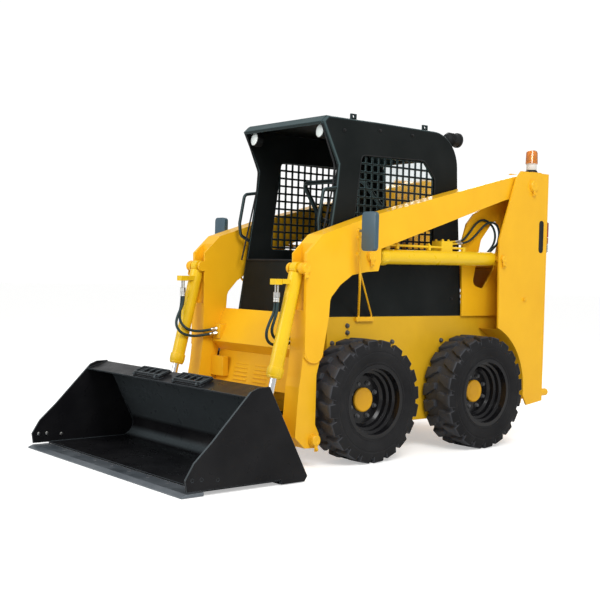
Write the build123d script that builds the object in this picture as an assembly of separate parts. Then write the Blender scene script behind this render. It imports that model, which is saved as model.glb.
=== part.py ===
"""Skid steer loader with radial lift arms, a quick-attach bucket and an open ROPS cab.

Millimetres. +X is the machine's left side, -Y its front and +Z up. Places are written from the
middle of the wheelbase on the ground, as (y, z) for what is cut from plate. On export every piece
moves by SHIFT_Y, so that the origin lies under the centre of the whole machine.
"""
from build123d import *
from math import atan2, degrees, hypot, radians, sqrt, tan
import os

# ---- driving dimensions -------------------------------------------------------------------
TYRE_RADIUS = 386.5          # 10-16.5 tyre, out to the tips of its lugs
TYRE_WIDTH = 266
WHEELBASE = 1049
WHEEL_FACE = 706             # outer face of the tyres, from the middle of the machine
BUCKET_HALF = 898
BUCKET_TIP = -2081
MACHINE_REAR = 1296          # ends of the buffers on the towers' feet
SHIFT_Y = -(BUCKET_TIP + MACHINE_REAR) / 2

TUB_HALF = 432               # chassis tub, outside
TUB_WALL = 12
TUB_TOP = 900
TUB_BELLY = 197
CAB_HALF = 425
CAB_SKIN = 26
ARM_IN, ARM_OUT = 464, 605   # faces of each lift arm
TOWER_IN = (436, 450)        # inner tower plate
TOWER_OUT = (618, 632)       # outer tower plate
WHEEL_Y = (-WHEELBASE / 2, WHEELBASE / 2)

# Pivots, as (y, z)
ARM_PIVOT = (1040, 1840)
LIFT_BASE = (730, 1305)
LIFT_EYE = (-520, 1288)
TILT_BASE = (-1052, 1200)
TILT_EYE = (-1248, 375)
BUCKET_PIVOT = (-945, 168)
LIFT_X = 540                 # middle plane of the lift cylinders
TILT_X = 527                 # middle plane of the tilt cylinders
EYE_HALF = 27                # half width of a cylinder's eye
FIT = 0.05                   # radial clearance of a pin in its bore
APART = 0.3                  # gap between round faces of different bodies

PARTS = {}


# ---- helpers ------------------------------------------------------------------------------
def plate(outline, x0, x1, radius=None):
    """Plate with the outline (y, z), from plane x0 to plane x1."""
    if radius:
        path = FilletPolyline(*outline, radius=radius, close=True)
    else:
        path = Polyline(*outline, close=True)
    face = Plane.YZ * make_face(path)
    low, high = min(x0, x1), max(x0, x1)
    return Pos(low, 0, 0) * extrude(face, high - low)


def rod_x(centre, radius, x0, x1):
    """Round bar along X at (y, z)."""
    low, high = min(x0, x1), max(x0, x1)
    return Pos((low + high) / 2, *centre) * Rot(0, 90, 0) * Cylinder(radius, high - low)


def block(x, y, z):
    """Box given by its (low, high) span along each axis."""
    size = [high - low for low, high in (x, y, z)]
    middle = [(high + low) / 2 for low, high in (x, y, z)]
    return Pos(*middle) * Box(*size)


def rod_z(x, y, radius, z0, z1):
    """Round bar along Z at (x, y)."""
    return Pos(x, y, z0) * Cylinder(radius, z1 - z0, align=(Align.CENTER, Align.CENTER, Align.MIN))


def along_y(radius, y0, y1):
    """Round bar along Y, centred on the Y axis."""
    return Pos(0, (y0 + y1) / 2, 0) * Rot(90, 0, 0) * Cylinder(radius, y1 - y0)


def bar(start, end, radius):
    """Round bar between two points in space."""
    line = Line(start, end)
    return sweep(Plane(start, z_dir=line % 0) * Circle(radius), path=line)


def bent_bar(points, radius, bend):
    """Round bar bent along points, with one bend radius."""
    path = FilletPolyline(*points, radius=bend)
    return sweep(Plane(points[0], z_dir=path % 0) * Circle(radius), path=path)


def hose(points, diameter):
    """Hose along points, each bend as wide as its two runs allow."""
    radii = []
    for before, at, after in zip(points, points[1:], points[2:]):
        back, ahead = Vector(*at) - Vector(*before), Vector(*after) - Vector(*at)
        half_turn = radians(back.get_angle(ahead)) / 2
        radii.append(0.45 * min(back.length, ahead.length) / tan(half_turn))
    path = FilletPolyline(*points, radius=radii)
    tube = sweep(Plane(points[0], z_dir=path % 0) * Circle(diameter / 2), path=path)
    error = tube.volume / (3.14159 * diameter ** 2 / 4 * path.length) - 1
    print(f"hose of {path.length:.0f} mm, tightest bend {min(radii):.0f} mm, volume off by {error:.4f}")
    return tube


def turned(profile, x_centre=0):
    """Solid turned about the X axis from an (x, r) profile."""
    face = make_face(Polyline(*profile, close=True))
    return Pos(x_centre, 0, 0) * revolve(face, Axis.X)


def mirrored(solid):
    return mirror(solid, about=Plane.YZ)


def both(solid):
    """The piece and its twin on the other side of the machine."""
    return Part() + [solid, mirrored(solid)]


def keep(name, solid):
    PARTS[name] = solid


SIDES = (("left", 1), ("right", -1))


def on_side(solid, sign):
    return solid if sign > 0 else mirrored(solid)


# ---- wheels -------------------------------------------------------------------------------
RIM_BEAD = 212               # radius of the tyre's seat on the rim
RIM_FLANGE = 232
RIM_DISC = 566               # outer face of the dished disc
RIM_BARREL = 204             # inside of the rim
AXLE_RADIUS = 45
AXLE_END = 540
TYRE_MID = WHEEL_FACE - TYRE_WIDTH / 2

FACETS = 32                  # flats round the carcass
LUGS = 20                    # in each of the tyre's two rows, half a pitch apart
LUG_HALF = 42                # half width of a lug, round the tyre
LUG_SLANT = 0.25
LUG_FOOT = 330               # radius that the lugs grow from
TREAD_PHASE = 4.24           # turns a flat of the tread to the ground

# (x, r) across the crown and, on the outer side, down the dished sidewall to the bead
CROWN = [(-133, 312), (-124, 350), (-92, 364.5), (92, 364.5), (124, 350), (133, 312)]
SIDEWALL = [(111, RIM_FLANGE - 2), (130, 275), (133.1, 312.2)]
# x of a lug's two ends (at its foot, at its top)
LUG_INNER, LUG_OUTER = (6, 10), (131, 116)


def ring(x, radius):
    """Face of the carcass's flat-sided section at x."""
    return Plane.YZ.offset(x) * RegularPolygon(radius, FACETS)


def lug():
    """One bar of the tread on top of the tyre, leaning like a chevron's arm."""
    def outline(end, height):
        corners = []
        inner, outer = LUG_INNER[end], LUG_OUTER[end]
        for x, side in ((inner, -1), (outer, -1), (outer, 1), (inner, 1)):
            corners.append((x, side * LUG_HALF + LUG_SLANT * (70 - x)))
        return Pos(0, 0, height) * make_face(Polyline(*corners, close=True))

    furthest = LUG_HALF + LUG_SLANT * (70 - LUG_INNER[1])
    top = sqrt(TYRE_RADIUS ** 2 - furthest ** 2)
    return loft([outline(0, LUG_FOOT), outline(1, top)], ruled=True)


def tyre():
    """Tyre about the X axis, with both rows of lugs fused to it."""
    carcass = loft([ring(x, r) for x, r in CROWN], ruled=True)
    dish = loft([ring(x, r) for x, r in SIDEWALL], ruled=True)
    carcass -= dish + mirrored(dish)
    carcass -= extrude(ring(-140, RIM_BEAD + 1), 280)
    outer, inner = lug(), mirrored(lug())
    bars = []
    for i in range(LUGS):
        bars.append(Rot(360 / LUGS * i + TREAD_PHASE, 0, 0) * outer)
        bars.append(Rot(360 / LUGS * (i + 0.5) + TREAD_PHASE, 0, 0) * inner)
    return carcass + bars


def rim():
    """Deep dished rim with a hub that turns on the stub axle."""
    outer, inner = TYRE_MID + 112, TYRE_MID - 112
    face_side = [(AXLE_END, 0), (RIM_DISC, 0), (RIM_DISC, 150), (580, 166), (608, 172), (614, 188),
                 (642, 190), (650, RIM_BARREL), (outer + 8, RIM_BARREL + 4), (outer + 8, RIM_FLANGE)]
    seat_side = [(outer, RIM_FLANGE), (outer, RIM_BEAD), (inner, RIM_BEAD), (inner, RIM_FLANGE)]
    back_side = [(inner - 8, RIM_FLANGE), (inner - 8, RIM_BARREL), (576, RIM_BARREL), (566, 190), (550, 150),
                 (550, 80), (480, 80), (480, AXLE_RADIUS + FIT), (AXLE_END, AXLE_RADIUS + FIT)]
    return turned(face_side + seat_side + back_side)


def hub_cap():
    return turned([(RIM_DISC, 0), (584, 0), (584, 62), (576, 75), (RIM_DISC, 75)])


TYRE = tyre()
AXLE_Z = -min(corner.Z for corner in TYRE.vertices())


def make_wheels():
    for end, y in zip(("front", "rear"), WHEEL_Y):
        for side, sign in SIDES:
            place = Pos(0, y, AXLE_Z)
            keep(f"tyre_{end}_{side}", on_side(place * Pos(TYRE_MID, 0, 0) * TYRE, sign))
            keep(f"rim_{end}_{side}", on_side(place * rim(), sign))
            keep(f"hub_cap_{end}_{side}", on_side(place * hub_cap(), sign))


def make_axles():
    """Four stub axles, each on a flange bolted to the tub."""
    stubs = []
    for y in WHEEL_Y:
        stub = rod_x((y, AXLE_Z), AXLE_RADIUS, TUB_HALF, AXLE_END - 0.5)
        flange = rod_x((y, AXLE_Z), 95, TUB_HALF, TUB_HALF + 22)
        stubs += [stub + flange, mirrored(stub + flange)]
    keep("axles", Part() + stubs)


# ---- chassis ------------------------------------------------------------------------------
TUB_SIDE = [(-716, TUB_TOP), (-716, 560), (-560, 300), (-430, TUB_BELLY), (790, TUB_BELLY), (1000, 330),
            (1000, TUB_TOP)]
TUB_FLOOR = TUB_BELLY + TUB_WALL
TUB_INSIDE = [(-700, TUB_TOP + 1), (-700, 565), (-550, 312), (-424, TUB_FLOOR), (784, TUB_FLOOR), (988, 338),
              (988, TUB_TOP + 1)]


def make_tub():
    tub = plate(TUB_SIDE, -TUB_HALF, TUB_HALF)
    tub -= plate(TUB_INSIDE, -TUB_HALF + TUB_WALL, TUB_HALF - TUB_WALL)
    # The wall between the cab's floor and the engine bay
    tub += block((-TUB_HALF + TUB_WALL, TUB_HALF - TUB_WALL), (330, 342), (TUB_FLOOR, TUB_TOP))
    keep("tub", tub)


TOWER_ARCH = 470             # radius of the arch round the rear tyre
TOWER_TOP = 1935
TOWER_REAR = 1215
BEACON = (530, 1142)         # the beacon's place, as (x, y)
BEACON_FOOT = 1948           # top of its bracket
BUFFER = (605, 342)          # middle of the buffer on a tower's foot, as (x, z)
BUFFER_RADIUS = 27
HOSE_X = (461, 478)          # planes of a lift cylinder's two hoses
HOSE_END = (757, 1350)       # where they meet the tower, as (y, z)


def make_towers():
    wheel = (WHEEL_Y[1], AXLE_Z)
    outline = [(700, 800), (684, 1437), (852, 1882), (905, TOWER_TOP), (TOWER_REAR, TOWER_TOP),
               (TOWER_REAR, 285), (1040, 262)]
    outer = plate(outline, *TOWER_OUT)
    outer -= rod_x(wheel, TOWER_ARCH, TOWER_OUT[0] - 1, TOWER_OUT[1] + 1)
    outer -= block((TOWER_OUT[0] - 1, TOWER_OUT[1] + 1), (1138, 1154), (1384, 1572))
    inner_outline = [(520, TUB_TOP), (505, 1430), (545, 1545), (620, 1620), (700, 1662), (840, 1760),
                     (960, 1880), (1010, TOWER_TOP), (1190, TOWER_TOP), (1190, 560), (1010, 560),
                     (1010, TUB_TOP)]
    inner = plate(inner_outline, *TOWER_IN)
    inner -= plate([(620, 1120), (740, 1090), (850, 1240), (915, 1545), (840, 1590), (700, 1440)],
                   TOWER_IN[0] - 1, TOWER_IN[1] + 1, radius=45)
    rear = block((TOWER_IN[0], TOWER_OUT[1]), (TOWER_REAR - 15, TOWER_REAR), (285, TOWER_TOP))
    rear -= block((TOWER_IN[0] - 1, BUFFER[0] - BUFFER_RADIUS), (1190, 1220), (280, 560))
    cap = block((TOWER_IN[0], TOWER_OUT[1]), (1143, TOWER_REAR - 14), (TOWER_TOP - 12, TOWER_TOP))
    # Liner of the arch, from the tub's side out to the outer plate
    liner = rod_x(wheel, TOWER_ARCH + 8, TUB_HALF + 2, TOWER_OUT[0] + 1)
    liner -= rod_x(wheel, TOWER_ARCH, TUB_HALF, TOWER_OUT[0] + 2)
    liner &= plate([wheel, (700, 812), (1040, 812), (1040, 264)], TUB_HALF, TOWER_OUT[1])
    pins = rod_x(ARM_PIVOT, 30, TOWER_IN[0], TOWER_OUT[1] + 10)
    boss = rod_x(ARM_PIVOT, 46, TOWER_OUT[1], TOWER_OUT[1] + 10)
    base_pin = rod_x(LIFT_BASE, 22, TOWER_IN[1] - 2, TOWER_OUT[1] + 8)
    tower = outer + inner + rear + cap + liner + pins + boss + base_pin
    # Bulkhead that takes the lift cylinder's hoses
    tower += block((TOWER_IN[1] - 1, 486), (692, 728), (1308, 1340))
    for x in HOSE_X:
        tower += bar((x, HOSE_END[0] - APART, HOSE_END[1] - APART), (x, 722, 1326), 8)
    buffer = Pos(BUFFER[0], 0, BUFFER[1]) * along_y(BUFFER_RADIUS, TOWER_REAR - 1, MACHINE_REAR)
    tower += fillet(buffer.edges().sort_by(Axis.Y)[-1], 14)
    for side, sign in SIDES:
        keep(f"tower_{side}", on_side(tower, sign))
    # Foot of the beacon, behind the sweep of the arm's end
    x, y = BEACON
    PARTS["tower_left"] += block((x - 46, x + 48), (y - 46, TOWER_REAR - 14), (TOWER_TOP - 1, BEACON_FOOT))


TOW_PLATE = (350, 380)       # (low, high) of the tongue that takes the tow pin
TOW_HOLE, TOW_INSET = 12, 24
TOW_REAR = 1262
DOOR_HINGE = (-432, 1224)    # axis of the tail door, as (x, y)
HOOD_HINGE = (576, 1342)     # axis of the hood, as (y, z)


def make_rear():
    """Bumper, tail door and engine hood between the towers."""
    bumper = block((-574, 574), (1004, 1240), (300, 470))
    bumper -= block((-560, 560), (1016, 1228), (299, 458))
    tongue = block((-70, 70), (1016, TOW_REAR), TOW_PLATE)
    bumper += fillet(tongue.edges().filter_by(Axis.Z).group_by(Axis.Y)[-1], 22)
    # The tow pin drops through the tongue alone, in a notch of the bumper's wall
    bumper -= block((-90, 90), (1205, 1241), (TOW_PLATE[1], 471))
    bumper -= block((-50, 50), (1205, 1241), (299, TOW_PLATE[0]))
    bumper -= rod_z(0, TOW_REAR - TOW_INSET, TOW_HOLE, TOW_PLATE[0] - 1, TOW_PLATE[1] + 1)
    keep("rear_bumper", bumper)
    keep("engine", block((-270, 270), (440, 960), (340, 890)))
    door = block((-427, 428), (1190, 1214), (480, 1290))
    for i in range(10):
        door -= block((-300, 300), (1189, 1215), (640 + 46 * i, 664 + 46 * i))
    door += block((330, 372), (1213, 1230), (850, 960))
    leaf_x = (DOOR_HINGE[0] + 2, DOOR_HINGE[0] + 50)
    for z in (600, 1170):
        door += block(leaf_x, (1213, 1219), (z - 30, z + 30))
        door += Pos(*DOOR_HINGE, z) * Cylinder(9, 60)
    keep("tail_door", door)
    hood = plate([(565, 1300), (1180, 1236), (1180, 1266), (565, 1332)], -430, 430)
    for i in range(7):
        y = 700 + 52 * i
        hood -= block((-290, 290), (y, y + 26), (1200, 1360))
    for x in (-300, 300):
        hood += block((x - 40, x + 40), (570, 600), (1318, 1340))
        hood += rod_x(HOOD_HINGE, 9, x - 40, x + 40)
    keep("hood", hood)


# ---- cab ----------------------------------------------------------------------------------
CAB_PROFILE = [(-778, 2122), (-643, 1867), (-656, 1723), (-787, TUB_TOP + 2), (545, TUB_TOP + 2), (470, 1800),
               (452, 2160), (-300, 2162), (-740, 2158)]
CAB_CORNER = 240             # radius of the cab's upper rear corner
CAB_EDGE = 14                # rounding of the cab's outer edges
ROOF_SHEET = 28
ROOF_SEAM = 200              # where the roof meets the rear wall
LUG_X, LUG_Y = 380, (-495, 165)     # lifting lugs on the roof
LUG_HOLE, LUG_HOLE_Z = 10, 2184
SIDE_WINDOW = [(-532, 1330), (-452, 1938), (125, 1952), (232, 1840), (240, 1330)]
BAR_HINGE = (250, 1500)      # axis of the lap bar, as (y, z)


def round_corner(solid, z, radius):
    """Rounds the edge along X at the cab's upper rear corner."""
    edges = solid.edges().filter_by(Axis.X)
    return fillet(edges.sort_by(lambda e: hypot(e.center().Y - 460, e.center().Z - z))[:1], radius)


def cab_side():
    """Left side panel without its window."""
    side = plate(CAB_PROFILE, CAB_HALF - CAB_SKIN, CAB_HALF)
    side = round_corner(side, 2160, CAB_CORNER)
    face = side.faces().sort_by(Axis.X)[-1]
    return fillet(face.edges().sort_by(Axis.Z)[1:], CAB_EDGE)


def cab_prism():
    """What the roof and the rear wall enclose, to their outer faces."""
    inside = CAB_HALF - CAB_SKIN
    outline = [(-740, 2162), (452, 2162), (470, 1800), (545, TUB_TOP + 2), (-740, TUB_TOP + 2)]
    return round_corner(plate(outline, -inside, inside), 2162, CAB_CORNER)


def make_cab():
    side = cab_side() - plate(SIDE_WINDOW, CAB_HALF - CAB_SKIN - 1, CAB_HALF + 1, radius=30)
    for name, sign in SIDES:
        keep(f"cab_side_{name}", on_side(side, sign))
    inside = CAB_HALF - CAB_SKIN
    # One folded sheet makes the roof and the rear wall
    under = 2162 - ROOF_SHEET
    hollow = plate([(-741, under), (426, under), (442, 1800), (517, TUB_TOP), (-741, TUB_TOP)],
                   -inside - 1, inside + 1)
    sheet = cab_prism() - round_corner(hollow, under, CAB_CORNER - ROOF_SHEET)
    roof = sheet & block((-inside, inside), (-800, ROOF_SEAM), (2000, 2200))
    roof += plate([(-772, 2106), (-740, 2134), (-740, 2162), (-780, 2124)], -inside, inside)
    roof += block((-230, 230), (-640, -230), (2161, 2178))
    for y in LUG_Y:
        tab = block((LUG_X - 6, LUG_X + 6), (y - 24, y + 24), (2140, 2200))
        tab -= rod_x((y, LUG_HOLE_Z), LUG_HOLE, LUG_X - 7, LUG_X + 7)
        roof += tab
        roof += mirrored(tab)
    keep("cab_roof", roof)
    rear = sheet & block((-inside, inside), (ROOF_SEAM, 600), (TUB_TOP, 2200))
    rear -= block((-300, 300), (300, 600), (1350, 2000))
    keep("cab_rear", rear)
    front = plate([(-787, TUB_TOP + 2), (-740, 1250), (-716, 1250), (-763, TUB_TOP + 2)], -inside, inside)
    keep("cab_front_panel", front)


def make_grilles():
    """Welded mesh of flat bars in both side windows."""
    mesh_x = (CAB_HALF - 20, CAB_HALF - 12)
    bars = [block(mesh_x, (y, y + 13), (1320, 1960)) for y in range(-522, 250, 57)]
    bars += [block(mesh_x, (-540, 250), (z, z + 13)) for z in range(1341, 1950, 54)]
    opening = plate([(-525, 1336), (-446, 1932), (122, 1946), (226, 1838), (234, 1336)], *mesh_x, radius=26)
    mesh = (Part() + bars) & opening
    keep("side_grilles", both(mesh))


def make_cab_inside():
    floor = block((-418, 418), (-630, 326), (470, 490))
    keep("cab_floor", floor)
    base = block((-230, 230), (-200, 322), (491, 830))
    keep("seat_base", base)
    cushion = plate([(-280, 831), (-280, 920), (130, 900), (240, 1330), (312, 1330), (300, 831)],
                    -220, 220, radius=28)
    keep("seat", cushion)
    lever = bar((260, -430, 491), (260, -400, 1120), 14) + Pos(260, -400, 1150) * Sphere(32)
    keep("control_levers", both(lever))
    bar_path = [(378, *BAR_HINGE), (350, -120, 1560), (300, -330, 1800), (-300, -330, 1800),
                (-350, -120, 1560), (-378, *BAR_HINGE)]
    lap_bar = bent_bar(bar_path, 16, 60)
    lap_bar += both(rod_x(BAR_HINGE, 20, 366, 394))
    keep("seat_bar", lap_bar)


def make_cab_fittings():
    handle_path = [(412, -640, 1716), (412, -758, 1698), (412, -795, 1500), (412, -785, 1420),
                   (412, -690, 1372)]
    handle = bent_bar(handle_path, 11, 34) - cab_side()
    keep("grab_handles", both(handle))
    front_lamp = Pos(341, -712, 2066) * Rot(80, 0, 0) * Cylinder(38, 60)
    front_lamp += bar((341, -712, 2066), (341, -712, 2134), 8)
    rear_lamp = Pos(330, 490, 2139) * Rot(90, 0, 0) * Cylinder(46, 120)
    rear_lamp += Pos(330, 550, 2139) * Rot(90, 0, 0) * Cylinder(52, 20)
    rear_lamp += block((318, 342), (425, 455), (1990, 2100)) - cab_prism()
    keep("work_lights", both(front_lamp) + both(rear_lamp))
    # Cranked yellow stand that clears the arm, a brace and the mirror
    foot, knee, top = (446, -464, 905), (634, -634, 1140), (652, -668, 1440)
    stand = bent_bar([foot, knee, top], 8, 50) + bar((446, -351, 905), (634, -632, 1180), 6)
    stand += block((TUB_HALF, TUB_HALF + 20), (-484, -330), (870, 900))
    stand += bar(foot, (446, -464, 890), 8) + bar((446, -351, 905), (446, -351, 890), 6)
    head = block((714, 832), (-706, -676), (1315, 1552))
    head = fillet(head.edges().filter_by(Axis.Y), 28)
    clamp = bar(top, (720, -688, 1436), 8) + Pos(*top) * Sphere(14)
    keep("mirrors", both(stand + clamp + head))
    keep("beacon", rod_z(*BEACON, 45, BEACON_FOOT, 2110))
    keep("tail_lamps", both(block((596, 630), (TOWER_REAR, 1240), (1365, 1591))))


# ---- lift arms ----------------------------------------------------------------------------
ARM_OUTLINE = [(-1038, 700), (-1038, 1160), (-1041, 1290), (-918, 1408), (-482, 1549), (669, 1846),
               (985, 1922), (1110, 1880), (1130, 1800), (1040, 1770), (762, 1720), (-430, 1338),
               (-429, 1260), (-451, 1197), (-554, 1189), (-671, 1168), (-768, 1106), (-838, 1032),
               (-848, 1008), (-854, 911), (-893, 700)]
LEG_OUTLINE = [(-1038, 710), (-890, 710), (-932, 560), (-932, 260), (-902, 205), (-900, 140),
               (-932, 118), (-1010, 122), (-1086, 190), (-1085, 230), (-1066, 490), (-1055, 550)]


def make_arms():
    arm = plate(ARM_OUTLINE, ARM_IN, ARM_OUT)
    arm += plate(LEG_OUTLINE, ARM_IN, ARM_OUT - 12)
    # The outer face ends in a rounded tongue over the leg
    tongue = [(-1038, 700), (-893, 700), (-908, 655), (-950, 632), (-1005, 640), (-1040, 672)]
    arm += plate(tongue, ARM_OUT - 13, ARM_OUT)
    tilt_slot = (TILT_X - 53, TILT_X + 53)
    lift_slot = (LIFT_X - 53, LIFT_X + 53)
    arm -= plate([(-1150, 1450), (-975, 1380), (-975, 1150), (-1012, 950), (-1150, 950)], *tilt_slot)
    arm -= plate([(-640, 1100), (-640, 1330), (-560, 1370), (-300, 1400), (-300, 1100)], *lift_slot)
    arm -= rod_x(ARM_PIVOT, 30 + FIT, ARM_IN - 1, ARM_OUT + 1)
    for centre, x in ((LIFT_EYE, LIFT_X), (TILT_BASE, TILT_X)):
        arm += rod_x(centre, 34, ARM_IN, x - 46)
        arm += rod_x(centre, 34, x + 46, ARM_OUT + 14)
    arm -= rod_x(TILT_BASE, 20 + FIT, ARM_IN + 8, TILT_X + 68)
    arm += rod_x(BUCKET_PIVOT, 40, ARM_IN, ARM_OUT + 2)
    arm -= rod_x(BUCKET_PIVOT, 25 + FIT, ARM_IN - 1, ARM_OUT + 3)
    for side, sign in SIDES:
        keep(f"arm_{side}", on_side(arm, sign))
    beam = plate([(-870, 920), (-965, 700), (-885, 630), (-850, 640), (-850, 920)], -ARM_IN, ARM_IN)
    beam += plate([(-935, 420), (-923, 420), (-884, 640), (-896, 640)], -ARM_IN, ARM_IN)
    beam += block((-ARM_IN, -325), (-968, -925), (470, 600))
    keep("cross_member", beam)


# ---- cylinders ----------------------------------------------------------------------------
def cylinder(base, eye, x, barrel_radius, barrel_length, rod_radius, rod_start, eye_radius,
             base_pin, own_pin):
    """Barrel and rod between two pins, as (barrel, rod), lying in the plane x.

    The bore starts at rod_start[0] and the rod at rod_start[1]. own_pin is the half length of the
    pin that the barrel carries, or None where it turns on its neighbour's.
    """
    length = hypot(eye[0] - base[0], eye[1] - base[1])
    lean = degrees(atan2(eye[1] - base[1], eye[0] - base[0]))
    place = Pos(x, *base) * Rot(lean, 0, 0)
    barrel = along_y(barrel_radius, 30, barrel_length)
    barrel += along_y(barrel_radius + 4, barrel_length - 55, barrel_length - 8)
    barrel += rod_x((0, 0), barrel_radius - 4, -EYE_HALF, EYE_HALF)
    barrel -= along_y(rod_radius + FIT, rod_start[0], barrel_length + 1)
    if own_pin:
        barrel += rod_x((0, 0), base_pin, -own_pin, own_pin)
    else:
        barrel -= rod_x((0, 0), base_pin + FIT, -EYE_HALF - 1, EYE_HALF + 1)
    rod = along_y(rod_radius, rod_start[1], length)
    rod += rod_x((length, 0), eye_radius, -EYE_HALF, EYE_HALF)
    return place * barrel, place * rod


PORT_X = (492, 516)          # the tilt cylinder's two hose fittings
PORT_Y = -1183

# Routes of the hoses on the left side, as (x, y, z) from the cylinder's port to its far end
TILT_HOSES = {
    "outer": [(492, -1183, 1000), (492, -1183, 945), (494, -1222, 880), (488, -1246, 808), (472, -1212, 752),
              (460, -1140, 732), (450, -1072, 734), (428, -1012, 745)],
    "inner": [(516, -1183, 1000), (516, -1183, 950), (510, -1200, 890), (492, -1208, 826), (472, -1170, 780),
              (458, -1108, 764), (446, -1048, 766), (428, -1000, 776)],
}
# The lift cylinder's, as (y, z), start in line with their fittings
FITTING_RISE = 5 / 51
LIFT_HOSES = {
    "upper": [(445, 1420), (496, 1425), (560, 1482), (620, 1548), (692, 1586), (766, 1572), (826, 1526),
              (846, 1460), (812, 1389), HOSE_END],
    "lower": [(445, 1404), (505, 1409.882), (574, 1442), (638, 1494), (704, 1548), (774, 1572), (842, 1552),
              (868, 1490), (856, 1426), (808, 1386), HOSE_END],
}


def make_cylinders():
    lift_barrel, lift_rod = cylinder(LIFT_BASE, LIFT_EYE, LIFT_X, 48, 1130, 25, (470, 478), 36, 22, None)
    tilt_barrel, tilt_rod = cylinder(TILT_BASE, TILT_EYE, TILT_X, 43, 672, 21, (36, 187), 30, 20, 54)
    # Lift cylinder's port block, its two fittings and the steel tube to the rod's end
    lift_barrel += block((455, 545), (190, 298), (1340, 1412))
    lift_barrel += block((525, 555), (-345, -305), (1330, 1376))
    for y0, y1 in ((-340, 200), (290, 420)):
        lift_barrel += bar((540, y0, 1368), (540, y1, 1368), 8)
    lift_barrel += block((530, 550), (400, 425), (1340, 1376))
    for x, (y, z) in zip(HOSE_X, (LIFT_HOSES["upper"][0], LIFT_HOSES["lower"][0])):
        lift_barrel += bar((x, 290, z - FITTING_RISE * (y - 290)), (x, y, z), 7)
    # Tilt cylinder's port cover, open below, with room for the fittings as the barrel swings
    cover = block((476, 532), (PORT_Y - 30, PORT_Y + 19), (1100, 1134))
    cover -= block((481, 527), (PORT_Y - 25, PORT_Y + 14), (1099, 1128))
    cover += block((492, 540), (PORT_Y + 18, -1100), (1105, 1134))
    tilt_barrel += cover
    for name, pair in (("lift", (lift_barrel, lift_rod)), ("tilt", (tilt_barrel, tilt_rod))):
        for side, sign in SIDES:
            keep(f"{name}_barrel_{side}", on_side(pair[0], sign))
            keep(f"{name}_rod_{side}", on_side(pair[1], sign))


def make_hoses():
    """Two hoses on each cylinder, and the fittings of the tilt cylinder's."""
    fittings = Part()
    for x, name in zip(PORT_X, TILT_HOSES):
        points = TILT_HOSES[name]
        tube = hose(points, 18)
        for side, sign in SIDES:
            keep(f"tilt_hose_{name}_{side}", on_side(tube, sign))
        for radius, low, high in ((5, 1054, 1105), (10, 1022, 1056), (11, 1000, 1023)):
            fittings += both(rod_z(x, PORT_Y, radius, low, high))
    ends = block((376, 420), (-966, -915), (718, 815))
    for points in TILT_HOSES.values():
        last, before = Vector(*points[-1]), Vector(*points[-2])
        ahead = (last - before).normalized()
        ends += bar(tuple(last), tuple(last + ahead * 70), 12)
    ends -= plate([(-870, 920), (-965, 700), (-885, 630), (-850, 640), (-850, 920)], 370, 440)
    fittings += both(ends)
    keep("hose_fittings", fittings)
    for x, name in zip(HOSE_X, LIFT_HOSES):
        tube = hose([(x, y, z) for y, z in LIFT_HOSES[name]], 16)
        for side, sign in SIDES:
            keep(f"lift_hose_{name}_{side}", on_side(tube, sign))


# ---- bucket -------------------------------------------------------------------------------
EDGE_BACK = -1943
FLOOR = (22, 32)             # (underside, upper side) of the bucket's bottom sheet
BACK_SHEET = 10
SIDE_PLATE = 12
SIDE_OUTLINE = [(-1524, 551), (-1600, 548), (-1650, 529), (-1896, 279), (-2007, 178), (-2060, 94),
                (-2050, 31), (-1430, 31), (-1425, 5), (-1262, 5), (-1241, 34)]
SIDE_BOLTS = [(-2016, 90), (-1959, 89), (-1856, 78)]
# The back's outer face starts at BACK_FOOT and leans forward
BACK_FOOT = (-1239, 37)
BACK_UP, BACK_OUT = (-0.4856, 0.8742), (0.8742, 0.4856)


def on_back(up, out):
    """(y, z) of a place so far up the bucket's back and out from its face."""
    return tuple(BACK_FOOT[i] + up * BACK_UP[i] + out * BACK_OUT[i] for i in (0, 1))


def make_bucket():
    side = plate(SIDE_OUTLINE, BUCKET_HALF - SIDE_PLATE, BUCKET_HALF)
    for centre in SIDE_BOLTS:
        side -= rod_x(centre, 9, BUCKET_HALF - SIDE_PLATE - 1, BUCKET_HALF + 1)
    # Bottom, back and lip are one sheet, bent in section
    under = FilletPolyline((EDGE_BACK, FLOOR[0]), (-1231, FLOOR[0]), on_back(584, 0), (-1672, 503),
                           radius=[106, 14])
    over = FilletPolyline((EDGE_BACK, FLOOR[1]), (-1248, FLOOR[1]), on_back(571, -BACK_SHEET), (-1668, 494),
                          radius=[96, 6])
    section = make_face([under, Line(under @ 1, over @ 1), over, Line(over @ 0, under @ 0)])
    width = BUCKET_HALF - SIDE_PLATE + 1
    shell = Pos(-width, 0, 0) * extrude(Plane.YZ * section, 2 * width)
    shell += both(side)
    # Wear strip under the heel, and the two steps bolted on the lip
    wear_strip = [(-1430, 5), (-1430, 24), (-1290, 24), (-1240, 40), (-1249, 30), (-1262, 5)]
    shell += plate(wear_strip, -width, width)
    tread = [(-1566, 556), (-1656, 522), (-1652, 508), (-1562, 542)]
    for x0, x1 in ((-336, -30), (113, 418)):
        shell += plate(tread, x0, x1) - block((x0 + 40, x1 - 60), (-1634, -1588), (500, 560))
    keep("bucket_shell", shell)
    edge = plate([(BUCKET_TIP, 3), (EDGE_BACK, 3), (EDGE_BACK, 21.7), (BUCKET_TIP + 33, 21.7),
                  (BUCKET_TIP, 8)], -BUCKET_HALF, BUCKET_HALF)
    keep("cutting_edge", edge)


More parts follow.
